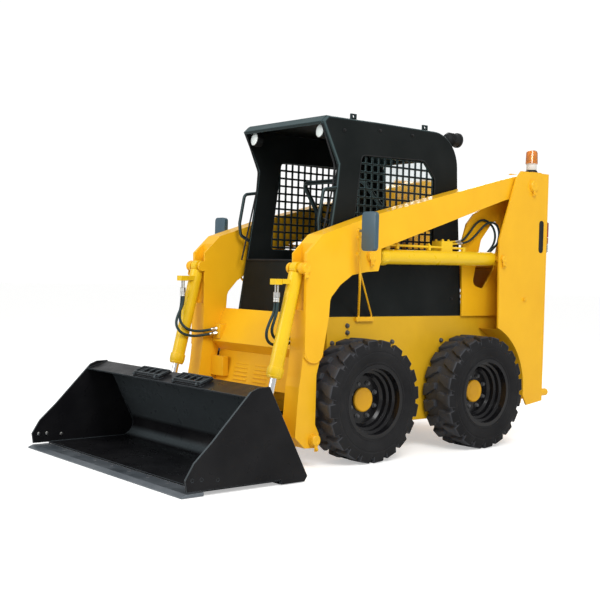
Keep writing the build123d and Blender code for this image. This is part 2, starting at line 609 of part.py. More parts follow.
def make_coupler():
    """Quick-attach frame: a plate on the bucket's back with ears for the pivots and the tilt rods."""
    board = plate([on_back(90, 0), on_back(500, 0), on_back(500, 14), on_back(90, 14)], -452, 452)
    board += plate([on_back(90, 0), on_back(260, 0), on_back(260, 14), on_back(90, 14)], -640, 640)
    frame = board
    main_ear = [on_back(92, 12), on_back(440, 12), on_back(352, 186), on_back(262, 204), on_back(30, 372),
                on_back(-66, 372), on_back(-84, 296)]
    short_ear = [on_back(210, 12), on_back(360, 12), on_back(338, 160), on_back(320, 192), on_back(280, 192),
                 on_back(262, 160)]
    ear_base = [on_back(210, 0), on_back(360, 0), on_back(360, 14), on_back(210, 14)]
    pieces = [plate(main_ear, 434, 450, radius=16), plate(short_ear, TILT_X + 36, TILT_X + 52, radius=12),
              plate(ear_base, 440, TILT_X + 70),
              rod_x(BUCKET_PIVOT, 25, 434, ARM_OUT + 12),
              rod_x(BUCKET_PIVOT, 36, ARM_OUT + 2 + APART, ARM_OUT + 14),
              rod_x(TILT_EYE, 20, 434, TILT_X - EYE_HALF - 8),
              rod_x(TILT_EYE, 20, TILT_X + EYE_HALF + 8, TILT_X + 58)]
    for piece in pieces:
        frame += both(piece)
    # Pocket under the rod's eye, for the bucket curled right back
    pocket = [on_back(280, -1), on_back(375, -1), on_back(375, 15), on_back(280, 15)]
    frame -= both(plate(pocket, TILT_X - EYE_HALF - 5, TILT_X + EYE_HALF + 5))
    keep("coupler", frame)


def export_all():
    os.makedirs("parts", exist_ok=True)
    for name, solid in PARTS.items():
        export_step(Pos(0, SHIFT_Y, 0) * solid, f"parts/{name}.step")


make_wheels()
make_axles()
make_tub()
make_towers()
make_rear()
make_cab()
make_grilles()
make_cab_inside()
make_cab_fittings()
make_arms()
make_cylinders()
make_hoses()
make_bucket()
make_coupler()
export_all()
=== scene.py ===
# %% [markdown]
# # Skid steer loader
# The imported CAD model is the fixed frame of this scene. This notebook gives every CAD solid a
# material, and adds the detail that makes the machine look real: lugged tyres, bolts, lamps,
# braided hoses, a padded seat and weld seams. Nothing here changes a dimension of the CAD.

from contextlib import contextmanager
from math import atan2, cos, pi, radians, sin, sqrt

import bpy
from mathutils import Matrix, Vector


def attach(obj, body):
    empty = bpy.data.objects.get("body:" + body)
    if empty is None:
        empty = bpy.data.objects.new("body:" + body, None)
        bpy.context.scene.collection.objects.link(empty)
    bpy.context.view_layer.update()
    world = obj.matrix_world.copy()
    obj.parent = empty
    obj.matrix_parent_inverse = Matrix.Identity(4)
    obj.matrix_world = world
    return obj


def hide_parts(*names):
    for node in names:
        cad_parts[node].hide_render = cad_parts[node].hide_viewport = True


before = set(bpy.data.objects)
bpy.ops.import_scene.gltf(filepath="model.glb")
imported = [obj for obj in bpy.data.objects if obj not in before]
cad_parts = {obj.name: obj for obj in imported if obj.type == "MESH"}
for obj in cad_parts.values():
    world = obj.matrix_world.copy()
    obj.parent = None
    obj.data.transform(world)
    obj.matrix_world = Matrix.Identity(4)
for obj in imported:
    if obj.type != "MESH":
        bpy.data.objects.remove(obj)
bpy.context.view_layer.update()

# %% [markdown]
# ## Places on the machine
# A drawing of a loader is measured from the ground and from the middle between its axles. The same
# is done here: places are in millimetres, and `at` turns one into Blender's metres. What several
# pieces share, such as the pins and the wheels, is named once, so that it is changed in one place.

# %% Places
MID = 0.3925                                           # y of the middle of the wheelbase, in metres
SIDES = (("left", 1), ("right", -1))
WHEEL_X, AXLE_Y, AXLE_Z = 573, 524.5, 385.44
WHEELS = [(f"{end}_{side}", y, sign) for end, y in (("front", -AXLE_Y), ("rear", AXLE_Y))
          for side, sign in SIDES]
# Pins, as (y, z)
LIFT_PIVOT, BUCKET_PIVOT = (1040, 1840), (-945, 168)
LIFT_BASE, LIFT_EYE = (730, 1305), (-520, 1288)
TILT_BASE, TILT_EYE = (-1052, 1200), (-1248, 375)
LIFT_X, TILT_X = 540, 527                              # planes of the cylinders
ARM_FACE, TOWER_FACE = 605, 632                        # outer faces of the left arm and tower
UPWARDS, BACKWARDS = (0, 0, 1), (0, 1, 0)


def at(x, y, z):
    """A place given in millimetres from the middle of the wheelbase, in metres in the frame."""
    return Vector((x / 1000, y / 1000 + MID, z / 1000))


print("places for", len(WHEELS), "wheels and the pins")

# %% [markdown]
# ## Camera
# The camera stands in front of the loader's left corner, at chest height, so that the bucket, the
# cab and the tower all show. It is made first, so that everything after it can be judged in its
# view. Its three axes are worked out from the angles and put in a matrix, which is surer than
# turning it by hand.

# %% Camera
AZIMUTH, PITCH, ROLL = radians(50.3086), radians(1.5345), radians(1.5053)
CAMERA_PLACE = (5.3137, -4.9939 + MID, 1.1767)
FOCAL_LENGTH, SENSOR_WIDTH = 62.17, 36
forward = Vector((-sin(AZIMUTH) * cos(PITCH), cos(AZIMUTH) * cos(PITCH), -sin(PITCH)))
level_right = Vector((cos(AZIMUTH), sin(AZIMUTH), 0))
level_up = level_right.cross(forward)
right = level_right * cos(ROLL) + level_up * sin(ROLL)
up = level_up * cos(ROLL) - level_right * sin(ROLL)
turn = Matrix((right, up, -forward)).transposed().to_euler()
bpy.ops.object.camera_add(location=CAMERA_PLACE, rotation=turn)
camera = bpy.context.object
camera.name = "camera"
camera.data.lens = FOCAL_LENGTH
camera.data.sensor_width = SENSOR_WIDTH
camera.data.clip_end = 200
bpy.context.scene.camera = camera
print("camera at", tuple(round(v, 3) for v in camera.location))

# %% [markdown]
# ## Tools for selecting and editing
# Every new piece starts as a primitive and is shaped by the same few moves. An operator works on
# all that is selected, so `focus` first deselects everything else. `editing` wraps edit mode, so
# that no cell forgets to leave it, and `pick` selects faces by their place or by where they face.

# %% Selecting and editing
def deselect():
    """Selects nothing."""
    bpy.ops.object.select_all(action="DESELECT")


def focus(obj):
    """Makes obj the only selected and the active object."""
    deselect()
    obj.select_set(True)
    bpy.context.view_layer.objects.active = obj


@contextmanager
def editing(obj):
    """Edit mode for obj with all of its mesh selected, and object mode again afterwards."""
    focus(obj)
    bpy.ops.object.mode_set(mode="EDIT")
    bpy.ops.mesh.select_all(action="SELECT")
    yield
    bpy.ops.object.mode_set(mode="OBJECT")


def baked(obj, name):
    """Applies obj's place, turn and size to its mesh, and names it."""
    focus(obj)
    bpy.ops.object.transform_apply(location=True, rotation=True, scale=True)
    obj.name = name
    obj.data.name = name
    return obj


def box(name, x, y, z):
    """A box from its (low, high) span in millimetres along each axis."""
    low, high = at(x[0], y[0], z[0]), at(x[1], y[1], z[1])
    deselect()
    bpy.ops.mesh.primitive_cube_add(size=1, location=(low + high) / 2)
    obj = bpy.context.object
    obj.scale = high - low
    return baked(obj, name)


def bevelled(obj, width, segments=2, angle=30):
    """Rounds the edges of obj that are sharper than angle."""
    focus(obj)
    modifier = obj.modifiers.new("bevel", "BEVEL")
    modifier.width = width
    modifier.segments = segments
    modifier.limit_method = "ANGLE"
    modifier.angle_limit = radians(angle)
    bpy.ops.object.modifier_apply(modifier="bevel")
    return smooth(obj)


def smooth(obj, angle=35):
    """Shades obj smooth, except across edges sharper than angle."""
    focus(obj)
    bpy.ops.object.shade_smooth_by_angle(angle=radians(angle))
    return obj


def outward(obj):
    """Turns every face of obj to point away from its inside."""
    with editing(obj):
        bpy.ops.mesh.remove_doubles(threshold=0.00002)
        bpy.ops.mesh.normals_make_consistent(inside=False)
    return obj


def pick(obj, test):
    """Selects the faces of obj whose centre and normal pass the test."""
    with editing(obj):
        bpy.ops.mesh.select_mode(type="FACE")
        bpy.ops.mesh.select_all(action="DESELECT")
    for face in obj.data.polygons:
        face.select = bool(test(face.center, face.normal))


def inset(obj, test, width, depth):
    """Insets the picked faces by width, and moves the inner ones in (or out) by depth."""
    pick(obj, test)
    bpy.ops.object.mode_set(mode="EDIT")
    bpy.ops.mesh.inset(thickness=width, depth=depth)
    bpy.ops.object.mode_set(mode="OBJECT")
    return obj


def round_corners(obj, axis, width, segments):
    """Rounds the edges of a box that run along an axis: 0 is X and 1 is Y."""
    with editing(obj):
        bpy.ops.mesh.select_mode(type="EDGE")
        bpy.ops.mesh.select_all(action="DESELECT")
    for edge in obj.data.edges:
        start, end = (obj.data.vertices[i].co for i in edge.vertices)
        edge.select = abs(start[axis] - end[axis]) > 0.001
    bpy.ops.object.mode_set(mode="EDIT")
    bpy.ops.mesh.bevel(offset=width, segments=segments)
    bpy.ops.object.mode_set(mode="OBJECT")
    return obj


def sliced(obj, normal, distances):
    """Cuts new edges round obj, across normal, at distances in millimetres from the origin."""
    with editing(obj):
        for distance in distances:
            bpy.ops.mesh.select_all(action="SELECT")
            bpy.ops.mesh.bisect(plane_co=[part * distance / 1000 for part in normal], plane_no=normal)


print("editing tools ready")

# %% [markdown]
# ## Tools for turned parts and copies
# Pins, nuts, lamps and tyres are round, so they are made as on a lathe. `turned` extrudes and
# scales a ring again and again along the X axis. `placed` then turns that axis where the part
# points. `copied` gives each copy its own mesh, so that a later edit changes one piece alone.

# %% Turning, placing and copying
NEEDLE = 0.02                    # smallest radius in millimetres, so that a tip is still a ring


def turned(name, rings, segments=48, closed=True):
    """A lathe part about the X axis, from its (x, r) rings in millimetres."""
    deselect()
    rings = [(x, max(r, NEEDLE)) for x, r in rings]
    x, r = rings[0]
    bpy.ops.mesh.primitive_circle_add(vertices=segments, radius=r / 1000, location=(x / 1000, 0, 0),
                                      rotation=(0, radians(90), 0), fill_type="NGON" if closed else "NOTHING")
    obj = baked(bpy.context.object, name)
    with editing(obj):
        bpy.ops.mesh.select_mode(type="EDGE")
        bpy.ops.mesh.select_all(action="SELECT")
        for (last_x, last_r), (x, r) in zip(rings, rings[1:]):
            bpy.ops.mesh.extrude_region_move(TRANSFORM_OT_translate={"value": ((x - last_x) / 1000, 0, 0)})
            bpy.ops.transform.resize(value=(1, r / last_r, r / last_r), center_override=(x / 1000, 0, 0))
    return smooth(outward(obj))


def pointing(axis):
    """The turn that carries the X axis to the given axis."""
    return Vector((1, 0, 0)).rotation_difference(Vector(axis).normalized()).to_matrix().to_4x4()


def placed(obj, where, axis=(1, 0, 0)):
    """Turns obj's X axis to the given axis, then moves it to a place in the frame."""
    obj.data.transform(Matrix.Translation(where) @ pointing(axis))
    return obj


def copied(obj, matrix, name=None):
    """A copy of obj with its own mesh, moved by the matrix."""
    twin = obj.copy()
    twin.data = obj.data.copy()
    bpy.context.collection.objects.link(twin)
    twin.data.transform(matrix)
    if matrix.determinant() < 0:
        twin.data.flip_normals()
    if name:
        twin.name = name
    return twin


def joined(parts, name):
    """Joins parts into one object with this name."""
    focus(parts[0])
    for part in parts:
        part.select_set(True)
    if len(parts) > 1:
        bpy.ops.object.join()
    obj = bpy.context.object
    obj.name = name
    obj.data.name = name
    return obj


MIRROR = Matrix.Scale(-1, 4, (1, 0, 0))
SIDE_TURN = {1: Matrix.Identity(4), -1: MIRROR}        # by the sign of x
print("lathe tools ready")

# %% [markdown]
# ## Materials
# Real paint is never one flat colour. `surface` mixes two tones by a soft noise, varies the gloss,
# rounds the shading of every edge and paints a lighter highlight tone on it, and adds the fine bump
# that the finish has. All of it is worked out from the object's own coordinates, so no image is needed.

# %% Material builder
def surface(name, colour, second, rough, metallic=0.0, coat=0.0, grain=(600, 0.05), rounded=0.0015,
            edge=None, edge_highlight_amount=0.0, sheen=None):
    """A finish with two tones, changing gloss, fine grain, painted highlights on edges and a painted sheen on
    rounded sheet.
    """
    material = bpy.data.materials.new(name)
    material.use_nodes = True
    tree = material.node_tree
    shader = tree.nodes["Principled BSDF"]
    shader.inputs["Metallic"].default_value = metallic
    shader.inputs["Coat Weight"].default_value = coat
    shader.inputs["Coat Roughness"].default_value = 0.12
    place = tree.nodes.new("ShaderNodeTexCoord")

    def noise(scale, detail):
        node = tree.nodes.new("ShaderNodeTexNoise")
        node.inputs["Scale"].default_value = scale
        node.inputs["Detail"].default_value = detail
        tree.links.new(place.outputs["Object"], node.inputs["Vector"])
        return node.outputs["Fac"]

    def mixed(factor, a, b):
        node = tree.nodes.new("ShaderNodeMix")
        node.data_type = "RGBA"
        tree.links.new(factor, node.inputs["Factor"])
        for value, socket in ((a, node.inputs["A"]), (b, node.inputs["B"])):
            if isinstance(value, tuple):
                socket.default_value = (*value, 1)
            else:
                tree.links.new(value, socket)
        return node.outputs["Result"]

    def spread(value, low, high, to_low, to_high):
        node = tree.nodes.new("ShaderNodeMapRange")
        for key, number in (("From Min", low), ("From Max", high), ("To Min", to_low), ("To Max", to_high)):
            node.inputs[key].default_value = number
        tree.links.new(value, node.inputs["Value"])
        return node.outputs["Result"]

    tone = mixed(spread(noise(4, 5), 0.35, 0.65, 0, 1), colour, second)
    tree.links.new(spread(noise(12, 6), 0.3, 0.7, *rough), shader.inputs["Roughness"])
    bump = tree.nodes.new("ShaderNodeBump")
    bump.inputs["Strength"].default_value = grain[1]
    bump.inputs["Distance"].default_value = 0.002
    tree.links.new(noise(grain[0], 3), bump.inputs["Height"])
    if rounded:
        bevel = tree.nodes.new("ShaderNodeBevel")
        bevel.samples = 4
        bevel.inputs["Radius"].default_value = rounded
        tree.links.new(bevel.outputs["Normal"], bump.inputs["Normal"])
        # Painted highlight: where the rounded normal turns away from the flat one, the colour is mixed
        # towards the lighter edge tone
        if edge:
            plain = tree.nodes.new("ShaderNodeNewGeometry")
            same = tree.nodes.new("ShaderNodeVectorMath")
            same.operation = "DOT_PRODUCT"
            tree.links.new(bevel.outputs["Normal"], same.inputs[0])
            tree.links.new(plain.outputs["Normal"], same.inputs[1])
            tone = mixed(spread(same.outputs["Value"], 1.0, 0.9, 0, edge_highlight_amount), tone, edge)
    if sheen:
        # Painted reflection: sheet that faces neither up, ahead nor sideways is a rounded corner, and is
        # painted a lighter blue-grey, as if it caught the sky
        size = tree.nodes.new("ShaderNodeVectorMath")
        size.operation = "ABSOLUTE"
        tree.links.new(place.outputs["Normal"], size.inputs[0])
        parts = tree.nodes.new("ShaderNodeSeparateXYZ")
        tree.links.new(size.outputs["Vector"], parts.inputs["Vector"])
        largest = parts.outputs["X"]
        for axis in ("Y", "Z"):
            most = tree.nodes.new("ShaderNodeMath")
            most.operation = "MAXIMUM"
            tree.links.new(largest, most.inputs[0])
            tree.links.new(parts.outputs[axis], most.inputs[1])
            largest = most.outputs[0]
        tone = mixed(spread(largest, 0.96, 0.80, 0, sheen[1]), tone, sheen[0])
    tree.links.new(tone, shader.inputs["Base Color"])
    tree.links.new(bump.outputs["Normal"], shader.inputs["Normal"])
    return material


def lens(name, colour, rough=0.08, transmission=0.6):
    """Clear or coloured moulded plastic."""
    material = surface(name, colour, tuple(c * 0.85 for c in colour), rough=(rough, rough + 0.06), coat=0.5,
                       grain=(220, 0.08), rounded=0.0008)
    material.node_tree.nodes["Principled BSDF"].inputs["Transmission Weight"].default_value = transmission
    return material


print("material builder ready")

# %% [markdown]
# ## Table of finishes
# Each finish is one row. Paint has a thin clear coat and a painted highlight on its edges, the black sheet
# is close to black with a painted sheen on its rounded corners, rubber is rough, and bare steel is metallic.

# %% Finishes
# name: colour, second tone, roughness, metallic, coat, grain, rounded edge, edge tone (a painted highlight),
# edge amount
FINISHES = {
    "yellow": ((0.86, 0.465, 0.012), (0.82, 0.430, 0.010), (0.28, 0.42), 0, 0.06, (700, 0.04), 0.0025,
               (0.96, 0.64, 0.06), 0.5),
    "cylinder": ((0.80, 0.515, 0.010), (0.76, 0.480, 0.008), (0.26, 0.40), 0, 0.08, (600, 0.06), 0.002,
                 (0.92, 0.76, 0.08), 0.5),
    # Painted shade: a darker copy of the yellow paint for the tub, as if shaded by the arms and the tyres
    "ochre": ((0.70, 0.40, 0.014), (0.64, 0.36, 0.012), (0.30, 0.46), 0, 0.05, (700, 0.05), 0.0025,
              (0.9, 0.5, 0.03), 0.4),
    "cab": ((0.006, 0.008, 0.008), (0.010, 0.012, 0.012), (0.30, 0.44), 0, 0.02, (900, 0.05), 0.006,
            (0.10, 0.17, 0.18), 0.8),
    "bucket": ((0.005, 0.005, 0.006), (0.010, 0.010, 0.011), (0.24, 0.40), 0, 0.04, (500, 0.05), 0.004,
               (0.16, 0.19, 0.21), 0.6),
    "edge_steel": ((0.10, 0.12, 0.14), (0.16, 0.18, 0.20), (0.30, 0.5), 0.7, 0, (260, 0.12), 0.002,
                   (0.35, 0.38, 0.4), 0.6),
    "tyre": ((0.013, 0.013, 0.014), (0.020, 0.020, 0.021), (0.55, 0.75), 0, 0, (420, 0.25), 0.003,
             (0.050, 0.050, 0.053), 0.4),
    # Painted light: a lighter copy of the tyre's rubber for the faces that the lamps reach, tinted a little
    # blue against the yellow bounce
    "tread_painted_light": ((0.022, 0.024, 0.030), (0.031, 0.034, 0.042), (0.50, 0.72), 0, 0, (420, 0.3), 0.003,
              (0.065, 0.065, 0.070), 0.4),
    "rim": ((0.005, 0.005, 0.006), (0.009, 0.009, 0.010), (0.14, 0.26), 0, 0.12, (700, 0.04), 0.002,
            (0.10, 0.10, 0.11), 0.4),
    "hub": ((0.66, 0.34, 0.014), (0.58, 0.29, 0.011), (0.32, 0.45), 0, 0.05, (500, 0.06), 0.002,
            (0.9, 0.55, 0.1), 0.4),
    "chrome": ((0.80, 0.81, 0.82), (0.74, 0.75, 0.76), (0.08, 0.16), 1, 0, (900, 0.03), 0.0015, None, 0),
    "zinc": ((0.62, 0.62, 0.60), (0.50, 0.50, 0.47), (0.25, 0.4), 1, 0, (500, 0.08), 0.0008, None, 0),
    "dark_steel": ((0.09, 0.095, 0.10), (0.12, 0.12, 0.125), (0.38, 0.55), 0.6, 0, (350, 0.15), 0.0012,
                   (0.2, 0.2, 0.21), 0.5),
    "casting": ((0.035, 0.036, 0.038), (0.055, 0.055, 0.056), (0.5, 0.7), 0.3, 0, (180, 0.4), 0.004,
                (0.10, 0.10, 0.10), 0.4),
    "vinyl": ((0.014, 0.014, 0.015), (0.020, 0.020, 0.021), (0.42, 0.58), 0, 0, (520, 0.5), 0, None, 0),
    "plastic": ((0.012, 0.013, 0.014), (0.020, 0.021, 0.022), (0.4, 0.55), 0, 0, (800, 0.15), 0.001,
                (0.06, 0.06, 0.06), 0.4),
    "mirror_shell": ((0.030, 0.070, 0.100), (0.040, 0.085, 0.115), (0.32, 0.45), 0, 0.2, (800, 0.1), 0.003,
                     (0.10, 0.18, 0.22), 0.5),
    "glass_silver": ((0.62, 0.66, 0.68), (0.58, 0.62, 0.64), (0.02, 0.05), 1, 0, (60, 0.01), 0, None, 0),
    "hose": ((0.010, 0.026, 0.028), (0.022, 0.050, 0.052), (0.30, 0.5), 0, 0, (650, 0.7), 0, None, 0),
    "white_band": ((0.80, 0.80, 0.78), (0.72, 0.72, 0.70), (0.3, 0.45), 0, 0.2, (500, 0.04), 0.001, None, 0),
    "weld": ((0.78, 0.40, 0.010), (0.88, 0.46, 0.012), (0.34, 0.5), 0, 0.05, (160, 0.6), 0, None, 0),
}
# A painted blue-grey sheen, a painted reflection of the sky, on the rounded corners of the black sheet, as
# (tone, amount)
PAINTED_SHEEN = {"cab": ((0.055, 0.085, 0.090), 0.85), "bucket": ((0.070, 0.085, 0.092), 0.85)}
print(len(FINISHES), "finishes,", len(PAINTED_SHEEN), "with a sheen")

# %% [markdown]
# ## Making the materials
# Each row of the table becomes one material. The lenses follow, and then the amount of light that
# each finish throws back as a highlight: rubber, vinyl and satin paint throw back little.

# %% Materials
MATERIALS = {name: surface(name, *row, sheen=PAINTED_SHEEN.get(name)) for name, row in FINISHES.items()}
MATERIALS["amber"] = lens("amber", (0.95, 0.30, 0.02))
MATERIALS["red_lens"] = lens("red_lens", (0.62, 0.012, 0.008), transmission=0.25)
MATERIALS["clear_lens"] = lens("clear_lens", (0.86, 0.90, 0.88), transmission=0.35)
MATERIALS["frosted"] = lens("frosted", (0.80, 0.86, 0.84), 0.3, 0.1)
MATERIALS["window"] = lens("window", (0.90, 0.95, 0.95), 0.0, 1.0)
MATERIALS["window"].node_tree.nodes["Principled BSDF"].inputs["Coat Weight"].default_value = 0
SPECULAR = {"cab": 0.08, "bucket": 0.10, "tyre": 0.08, "rim": 0.22, "vinyl": 0.15, "plastic": 0.15,
            "hose": 0.3, "yellow": 0.25, "cylinder": 0.3, "ochre": 0.2, "hub": 0.2}
for name, level in SPECULAR.items():
    MATERIALS[name].node_tree.nodes["Principled BSDF"].inputs["Specular IOR Level"].default_value = level
print(len(MATERIALS), "materials")

# %% [markdown]
# ## Giving a piece its look and its place
# Every new piece says two things: its material and the body that it rides with when a joint moves.
# A piece that stands in for a CAD node hides that node.

# %% Finishing a piece
def finish(obj, material, body, stands_for=()):
    """Gives a new piece its material and body, and hides the CAD nodes it stands for."""
    obj.data.materials.clear()
    obj.data.materials.append(MATERIALS[material])
    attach(obj, body)
    if stands_for:
        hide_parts(*stands_for)
    return obj


print("a piece takes one of", len(MATERIALS), "materials")

# %% [markdown]
# ## Finishes of the CAD solids
# Most CAD solids already have the right shape: folded sheet, plate, bar and tube. They keep it
# and only get their finish here. The list is read from the first words of each node's name.

# %% Dress the CAD nodes
# The tub's darker yellow is painted shade
NODE_FINISH = (
    ("tyre", "tyre"), ("rim", "rim"), ("hub_cap", "hub"), ("axles", "dark_steel"), ("tub", "ochre"),
    ("rear_bumper", "yellow"), ("tower", "yellow"), ("arm_", "yellow"), ("cross_member", "yellow"),
    ("coupler", "yellow"), ("hood", "yellow"), ("tail_door", "yellow"), ("lift_barrel", "cylinder"),
    ("tilt_barrel", "cylinder"), ("lift_rod", "chrome"), ("tilt_rod", "chrome"), ("bucket_shell", "bucket"),
    ("cutting_edge", "edge_steel"), ("engine", "casting"), ("seat_base", "cab"), ("seat_bar", "cab"),
    ("seat", "vinyl"), ("cab_", "cab"), ("side_grilles", "cab"), ("grab_handles", "cab"),
    ("work_lights", "cab"), ("mirrors", "mirror_shell"), ("beacon", "amber"), ("tail_lamps", "red_lens"),
    ("control_levers", "plastic"), ("hose_fittings", "zinc"), ("lift_hose", "hose"), ("tilt_hose", "hose"),
)
for name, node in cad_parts.items():
    key = next(finish_name for start, finish_name in NODE_FINISH if name.startswith(start))
    node.data.materials.clear()
    node.data.materials.append(MATERIALS[key])
print("dressed", len(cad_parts), "nodes")

# %% [markdown]
# ## Hoses
# Eight braided hydraulic hoses join the cylinders to the machine. Each is one smooth curve with a
# round section. The route is a short list of places that the hose bends round, so moving one
# place bends the whole hose softly, as rubber would. They come first because they are the only
# pieces that hang free.

# %% Hoses
TILT_HOSES = {
    "outer": [(492, -1183, 1000), (492, -1183, 945), (494, -1222, 880), (488, -1246, 808), (472, -1212, 752),
              (460, -1140, 732), (450, -1072, 734), (428, -1012, 745)],
    "inner": [(516, -1183, 1000), (516, -1183, 950), (510, -1200, 890), (492, -1208, 826), (472, -1170, 780),
              (458, -1108, 764), (446, -1048, 766), (428, -1000, 776)],
}
LIFT_HOSES = {
    "upper": [(461, 445, 1420), (461, 496, 1425), (461, 560, 1482), (461, 620, 1548), (461, 692, 1586),
              (461, 766, 1572), (461, 826, 1526), (461, 846, 1460), (461, 812, 1389), (461, 757, 1350)],
    "lower": [(478, 445, 1404), (478, 505, 1410), (478, 574, 1442), (478, 638, 1494), (478, 704, 1548),
              (478, 774, 1572), (478, 842, 1552), (478, 868, 1490), (478, 856, 1426), (478, 808, 1386),
              (478, 757, 1350)],
}


def hose(name, node, route, diameter, body):
    """A free hose along the route, as a smooth curve with a round section."""
    deselect()
    bpy.ops.curve.primitive_nurbs_path_add()
    obj = bpy.context.object
    obj.name = name
    obj.data.splines.clear()
    spline = obj.data.splines.new("NURBS")
    spline.points.add(len(route) - 1)
    for point, place in zip(spline.points, route):
        point.co = (*at(*place), 1)
    spline.order_u = 3
    spline.use_endpoint_u = True
    obj.data.resolution_u = 10
    obj.data.bevel_depth = diameter / 2000
    obj.data.bevel_resolution = 4
    obj.data.use_fill_caps = True
    finish(obj, "hose", body, [node])
    print(name, round(spline.calc_length(), 3), "m long")


for kind, table, diameter in (("tilt", TILT_HOSES, 18), ("lift", LIFT_HOSES, 16)):
    for place, route in table.items():
        for side, sign in SIDES:
            body = "arms" if kind == "tilt" else f"lift_barrel_{side}"
            mirrored = [(sign * x, y, z) for x, y, z in route]
            hose(f"braided_{kind}_{place}_{side}", f"{kind}_hose_{place}_{side}", mirrored, diameter, body)

# %% [markdown]
# ## More tools for the small parts
# Bars, wires and weld beads are all made by `pipe`: a curve through a few places, given a round
# section and turned into a mesh. A weld bead is the same pipe with a section that swells and
# shrinks along the way. `bolts` sets one hexagon head at many places, and `pair` makes the twin
# on the other side of the machine.

# %% Pipes, bolts and pairs
def rounded_route(points, bend):
    """The places of a route whose corners are rounded by about `bend` millimetres."""
    route = [Vector(points[0])]
    for before, corner, after in zip(points, points[1:], points[2:]):
        a, b, c = Vector(before), Vector(corner), Vector(after)
        reach = min(bend, (a - b).length * 0.45, (c - b).length * 0.45)
        start, end = b + (a - b).normalized() * reach, b + (c - b).normalized() * reach
        for i in range(6):
            t = i / 5
            route.append(start * (1 - t) ** 2 + b * 2 * t * (1 - t) + end * t ** 2)
    route.append(Vector(points[-1]))
    return route


def pipe(name, points, radius, bend=30, closed=False, ripple=0, sides=3):
    """A round bar along points in millimetres. ripple is the step of a weld bead's waves."""
    route = rounded_route(points, bend)
    if ripple:
        waves = []
        for a, b in zip(route, route[1:] + (route[:1] if closed else [])):
            steps = max(1, int((b - a).length / ripple))
            waves += [a.lerp(b, i / steps) for i in range(steps)]
        route = waves
    deselect()
    bpy.ops.curve.primitive_bezier_curve_add()
    obj = bpy.context.object
    obj.data.splines.clear()
    spline = obj.data.splines.new("POLY")
    spline.points.add(len(route) - 1)
    for i, (point, place) in enumerate(zip(spline.points, route)):
        point.co = (*at(*place), 1)
        point.radius = (1.0, 0.72)[i % 2] if ripple else 1.0
    spline.use_cyclic_u = closed
    obj.data.bevel_depth = radius / 1000
    obj.data.bevel_resolution = sides
    obj.data.use_fill_caps = True
    bpy.ops.object.convert(target="MESH")
    return smooth(outward(baked(bpy.context.object, name)), 50)


def circle_x(x, y, z, radius, count=28, start=0):
    """Places on a circle about an axis along X, the first at an angle of `start` degrees."""
    angles = [radians(start) + 2 * pi * i / count for i in range(count)]
    return [(x, y + radius * cos(angle), z + radius * sin(angle)) for angle in angles]


def nut(name, across, height):
    """A hexagon nut on a washer, along +X from the origin."""
    deselect()
    bpy.ops.mesh.primitive_cylinder_add(vertices=6, radius=across / 1732, depth=height / 1000,
                                        location=(height / 2000 + 0.002, 0, 0), rotation=(0, radians(90), 0))
    hexagon = bevelled(baked(bpy.context.object, "hexagon"), height / 8000, 1)
    washer = turned("washer", [(0, across * 0.66), (1.6, across * 0.68), (2.2, across * 0.64)], 20)
    thread = across * 0.28
    stud = turned("stud", [(height, thread), (height + 4, thread), (height + 5.5, across * 0.2)], 14)
    return joined([hexagon, washer, stud], name)


def bolts(name, across, spots, axis=(1, 0, 0)):
    """Bolt heads on washers at the spots, in millimetres, facing along axis."""
    master = nut("bolt", across, across * 0.55)
    heads = []
    for i, spot in enumerate(spots):
        matrix = Matrix.Translation(at(*spot)) @ pointing(axis) @ Matrix.Rotation(0.7 * i, 4, "X")
        heads.append(copied(master, matrix))
    bpy.data.objects.remove(master)
    return joined(heads, name)


def lathe(name, rings, where, axis=(1, 0, 0), segments=40):
    """A turned part, set at a place in millimetres with its axis along the given one."""
    return placed(turned(name, rings, segments), at(*where), axis)


def pair(left, name, material, body, stands_for=()):
    """Joins the left parts, if several, and finishes them and their mirrored twin.

    {side} in the name of a body or node becomes left or right.
    """
    if isinstance(left, list):
        left = joined(left, name)
    right = copied(left, MIRROR)
    for obj, side in ((left, "left"), (right, "right")):
        obj.name = obj.data.name = f"{name}_{side}"
        nodes = [node.format(side=side) for node in stands_for if side == "left" or "{side}" in node]
        finish(obj, material, body.format(side=side), nodes)
    return left, right


def second_material(obj, material, test):
    """Gives the faces that pass the test another material."""
    obj.data.materials.append(MATERIALS[material])
    pick(obj, test)
    for face in obj.data.polygons:
        if face.select:
            face.material_index = len(obj.data.materials) - 1


print("small tools ready")

# %% [markdown]
# ## Floor, sky and light
# The loader stands in a white studio. The floor and the sky look pure white to the camera and
# through glass, by the Light Path node, while the loader itself is lit and mirrored in softer
# light. Three large lamps give it form, and the shadow under the wheels stays.

# %% Floor, world and lamps
def white_to_camera(tree, lit, white):
    """Shows `white` to the camera, also through glass, and `lit` to all other rays."""
    path = tree.nodes.new("ShaderNodeLightPath")
    either = tree.nodes.new("ShaderNodeMath")
    either.operation = "MAXIMUM"
    tree.links.new(path.outputs["Is Camera Ray"], either.inputs[0])
    tree.links.new(path.outputs["Is Transmission Ray"], either.inputs[1])
    mix = tree.nodes.new("ShaderNodeMixShader")
    tree.links.new(either.outputs[0], mix.inputs[0])
    tree.links.new(lit, mix.inputs[1])
    tree.links.new(white, mix.inputs[2])
    return mix.outputs[0]


world = bpy.data.worlds.new("studio")
bpy.context.scene.world = world
world.use_nodes = True
tree = world.node_tree
tree.nodes["Background"].inputs["Color"].default_value = (1.0, 1.0, 1.0, 1)
tree.nodes["Background"].inputs["Strength"].default_value = 0.66
bright = tree.nodes.new("ShaderNodeBackground")
bright.inputs["Strength"].default_value = 1.3
tree.links.new(white_to_camera(tree, tree.nodes["Background"].outputs[0], bright.outputs[0]),
               tree.nodes["World Output"].inputs["Surface"])

